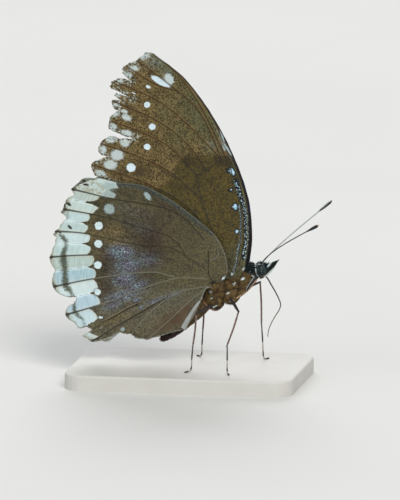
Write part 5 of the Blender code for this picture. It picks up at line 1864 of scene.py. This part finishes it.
def build_leg(knots, side):
    hip, knee, ankle, heel, toe = on_side(knots, side)
    shell = Shell(*LEG_FIELDS)
    thigh = smooth_path((hip, (hip + knee) / 2 + (0, 0, 0.12), knee), LEG_STEP)
    limb_part(shell, thigh, evenly(THIGH, len(thigh)), 0.2, spiny=0.35)
    shell.add(*ellipsoid(knee, (KNEE_BEAD,) * 3, rows=8, sides=LIMB_SIDES), pale=0.1)
    shin = smooth_path((knee, (knee + ankle) / 2 + (0.1, 0, 0), ankle), LEG_STEP)
    limb_part(shell, shin, evenly(SHIN, len(shin)), 0.55, spiny=0.8)
    down = unit(ankle - knee)
    hooks(shell, ankle - down * 0.15, down, np.array((-0.3, 0, 0)), np.array((1, 0, 0)), SPURS)
    foot = smooth_path((ankle, (ankle + heel) / 2, heel, toe), FOOT_STEP)
    ends = [int(share * (len(foot) - 1)) for share in (0.0, *FOOT_JOINTS)]
    for index, (start, end) in enumerate(zip(ends, ends[1:])):
        joint = foot[start:end + 1]
        radii = np.interp(np.linspace(0, 1, len(joint)), FOOT_SWELL, (*FOOT, *FOOT[::-1]))
        limb_part(shell, joint, radii, 0.45 if index % 2 else 0.25, 0.9 * (index in (1, 3)), 1.0)
    ahead = unit(toe - heel) * (1.0, 1.0, 0.0)
    across = np.array((*left_of(ahead[:2]), 0.0))
    hooks(shell, toe, ahead, np.array((0, 0, -0.25)), across, CLAWS)
    shell.add(*ellipsoid(toe + ahead * 0.08, PAD_RADII, rows=8, sides=LIMB_SIDES), pale=0.2)
    return shell.mesh("leg")


SPINES = (26.0, 0.24, 0.035, 0.6, 0.25)
for seed, ((kind, name), knots) in enumerate(LEG_KNOTS.items(), 20):
    leg = place_piece(f"{kind}_{name}_joints", build_leg(knots, SIDES[name]), LEG)
    unwrap(leg)
    hand_over(leg, "limb", f"{kind}_{name}")
    grow_coat(f"{kind}_{name}_spines", leg, "limb", "spine", LEG, "spiny", seed, SPINES)

# %% Folded front legs
FRONT_KNOTS = ((12.2, 1.2, 20.9), (13, 1.7, 20.65), (12.6, 1.85, 19.95), (12.1, 1.85, 19.2),
    (11.6, 1.7, 18.45), (11.35, 1.5, 18))
FRONT_RADII = (0.2, 0.28, 0.27, 0.25, 0.2, 0.1)
FRONT_HAIR = (90.0, 0.34, 0.04, 0.3, 0.2)
FRONT_SCALES = paint_limb("front_leg_scales", (0.018, 0.02, 0.021), (0.52, 0.58, 0.58),
                          (0.42, 0.38, 0.33))
for name, side in SIDES.items():
    path = smooth_path(on_side(FRONT_KNOTS, side), LEG_STEP)
    shell = Shell(*LEG_FIELDS)
    share = np.repeat(np.linspace(0, 1, len(path)), LIMB_SIDES)
    under = np.tile(np.cos(round_angles(LIMB_SIDES) - 2.2) > 0.7, len(path))
    limb_part(shell, path, evenly(FRONT_RADII, len(path)), 0.1 + 0.9 * under,
              spiny=fade(0.05, 0.2, share))
    brush = place_piece(f"foreleg_{name}_brush", shell.mesh("foreleg"), FRONT_SCALES)
    unwrap(brush)
    hand_over(brush, "limb", f"foreleg_{name}")
    grow_coat(f"foreleg_{name}_hair", brush, "limb", "bristle", FRONT_SCALES, "spiny", 30 + side,
              FRONT_HAIR)

# %% Clearing up
for blade in BLADES.values():
    bpy.data.objects.remove(blade)

# %% [markdown]
# ## Folded inner edge of the hindwing
# The inner edge of each hindwing is a bare strip that folds down along the abdomen. It is too
# thin for a solid, so it is a small sheet here, drawn between a front and a rear edge.

# %% Folded strips
STRIP_FRONT = ((3.05, 2.3, 16.5), (2.6, 2.7, 15.6), (1.7, 3, 14.1), (0.6, 3.1, 11.9), (-0.1, 2.95, 10.1))
STRIP_REAR = ((2.7, 2.3, 16.5), (1.9, 2.75, 15.5), (0.6, 3.05, 13.6), (-0.5, 3.15, 11.9),
    (-1.1, 3.1, 10.7))
STRIP_THICKNESS, STRIP_ROWS, STRIP_COLUMNS, STRIP_STEP = 0.07, 40, 8, 0.1
STRIP_CURL, STRIP_WAVE, STRIP_WAVE_TURN = 0.14, 0.05, 0.5


def build_strip(side):
    """Two sheets a little apart, closed round their rim."""
    front, rear = (np.stack([evenly(column, STRIP_ROWS)
                             for column in smooth_path(edge, STRIP_STEP).T], axis=1)[:, None]
                   for edge in (STRIP_FRONT, STRIP_REAR))
    across = np.linspace(0, 1, STRIP_COLUMNS)
    sheet = front + (rear - front) * across[:, None]
    sheet[:, :, 1] += STRIP_CURL * np.sin(math.pi * across)
    sheet[:, :, 1] += STRIP_WAVE * np.sin(np.arange(STRIP_ROWS) * STRIP_WAVE_TURN)[:, None]
    sheet = sheet.reshape(-1, 3)
    points = on_side(np.vstack((sheet, sheet + (0, STRIP_THICKNESS, 0))), side)
    count = len(sheet)
    starts = [row * STRIP_COLUMNS + column
              for row in range(STRIP_ROWS - 1) for column in range(STRIP_COLUMNS - 1)]
    quads = [(a, a + 1, a + 1 + STRIP_COLUMNS, a + STRIP_COLUMNS) for a in starts]
    faces = quads + [tuple(corner + count for corner in quad)[::-1] for quad in quads]
    faces += [(end, start, start + count, end + count) for start, end in rim_edges(quads)]
    return one_part("strip", points, faces, edge_way=np.tile(across, STRIP_ROWS * 2))


def paint_strip():
    nodes = new_finish("bare_membrane", 0.6, specular=0.25)
    place, way = nodes.object_mm(), nodes.attribute("edge_way")
    nodes.colour = nodes.mix(nodes.noise(2.0, place, 3.0), (0.22, 0.23, 0.22), (0.4, 0.41, 0.39))
    nodes.lay(nodes.step(abs(way - 0.5), 0.36, 0.5) * 0.7, (0.1, 0.095, 0.08))
    return closed(nodes, nodes.noise(12.0, place), 0.03)


BARE_MEMBRANE = paint_strip()
for name, side in SIDES.items():
    hand_over(place_piece(f"inner_edge_{name}", build_strip(side), BARE_MEMBRANE), "wing")
print("folded strips:", len(SIDES))

# %% [markdown]
# ## Base
# The base is a plain solid and keeps its own mesh. Its finish is a matt paint with a faint
# orange-peel texture and a little dust, so that it does not look like bare plastic.

# %% Base finish


def paint_base():
    nodes = new_finish("matt_paint", 0.62, specular=0.3)
    place = nodes.object_mm()
    nodes.colour = nodes.mix(nodes.noise(0.15, place, 4.0), (0.5, 0.49, 0.46), (0.6, 0.59, 0.56))
    nodes.lay(nodes.step(nodes.noise(6.0, place), 0.66, 0.74) * 0.18, (0.36, 0.35, 0.33))
    return closed(nodes, nodes.noise(3.5, place, 3.0), 0.06)


base = frame["nodes"]["stand_base"]
BASE_PAINT = paint_base()
if not base.material_slots:
    base.data.materials.append(BASE_PAINT)
for slot in base.material_slots:
    slot.material = BASE_PAINT
print("base painted:", len(base.material_slots), "slot")

# %% [markdown]
# ## Floor
# The floor is plain and pale, so that the worn margin reads against it.

# %% Floor


def paint_floor():
    nodes = new_finish("pale_floor", 0.75)
    haze = nodes.noise(0.01, nodes.object_mm(), 3.0)
    nodes.colour = nodes.mix(haze, (0.6, 0.6, 0.58), (0.66, 0.66, 0.64))
    return closed(nodes)


FLOOR_SIZE = 6000.0
bpy.ops.mesh.primitive_plane_add(size=FLOOR_SIZE * MM)
floor = bpy.context.object
floor.name = "floor"
floor.data.materials.append(paint_floor())
print("floor laid")

# %% End of the scene
print("scene built")
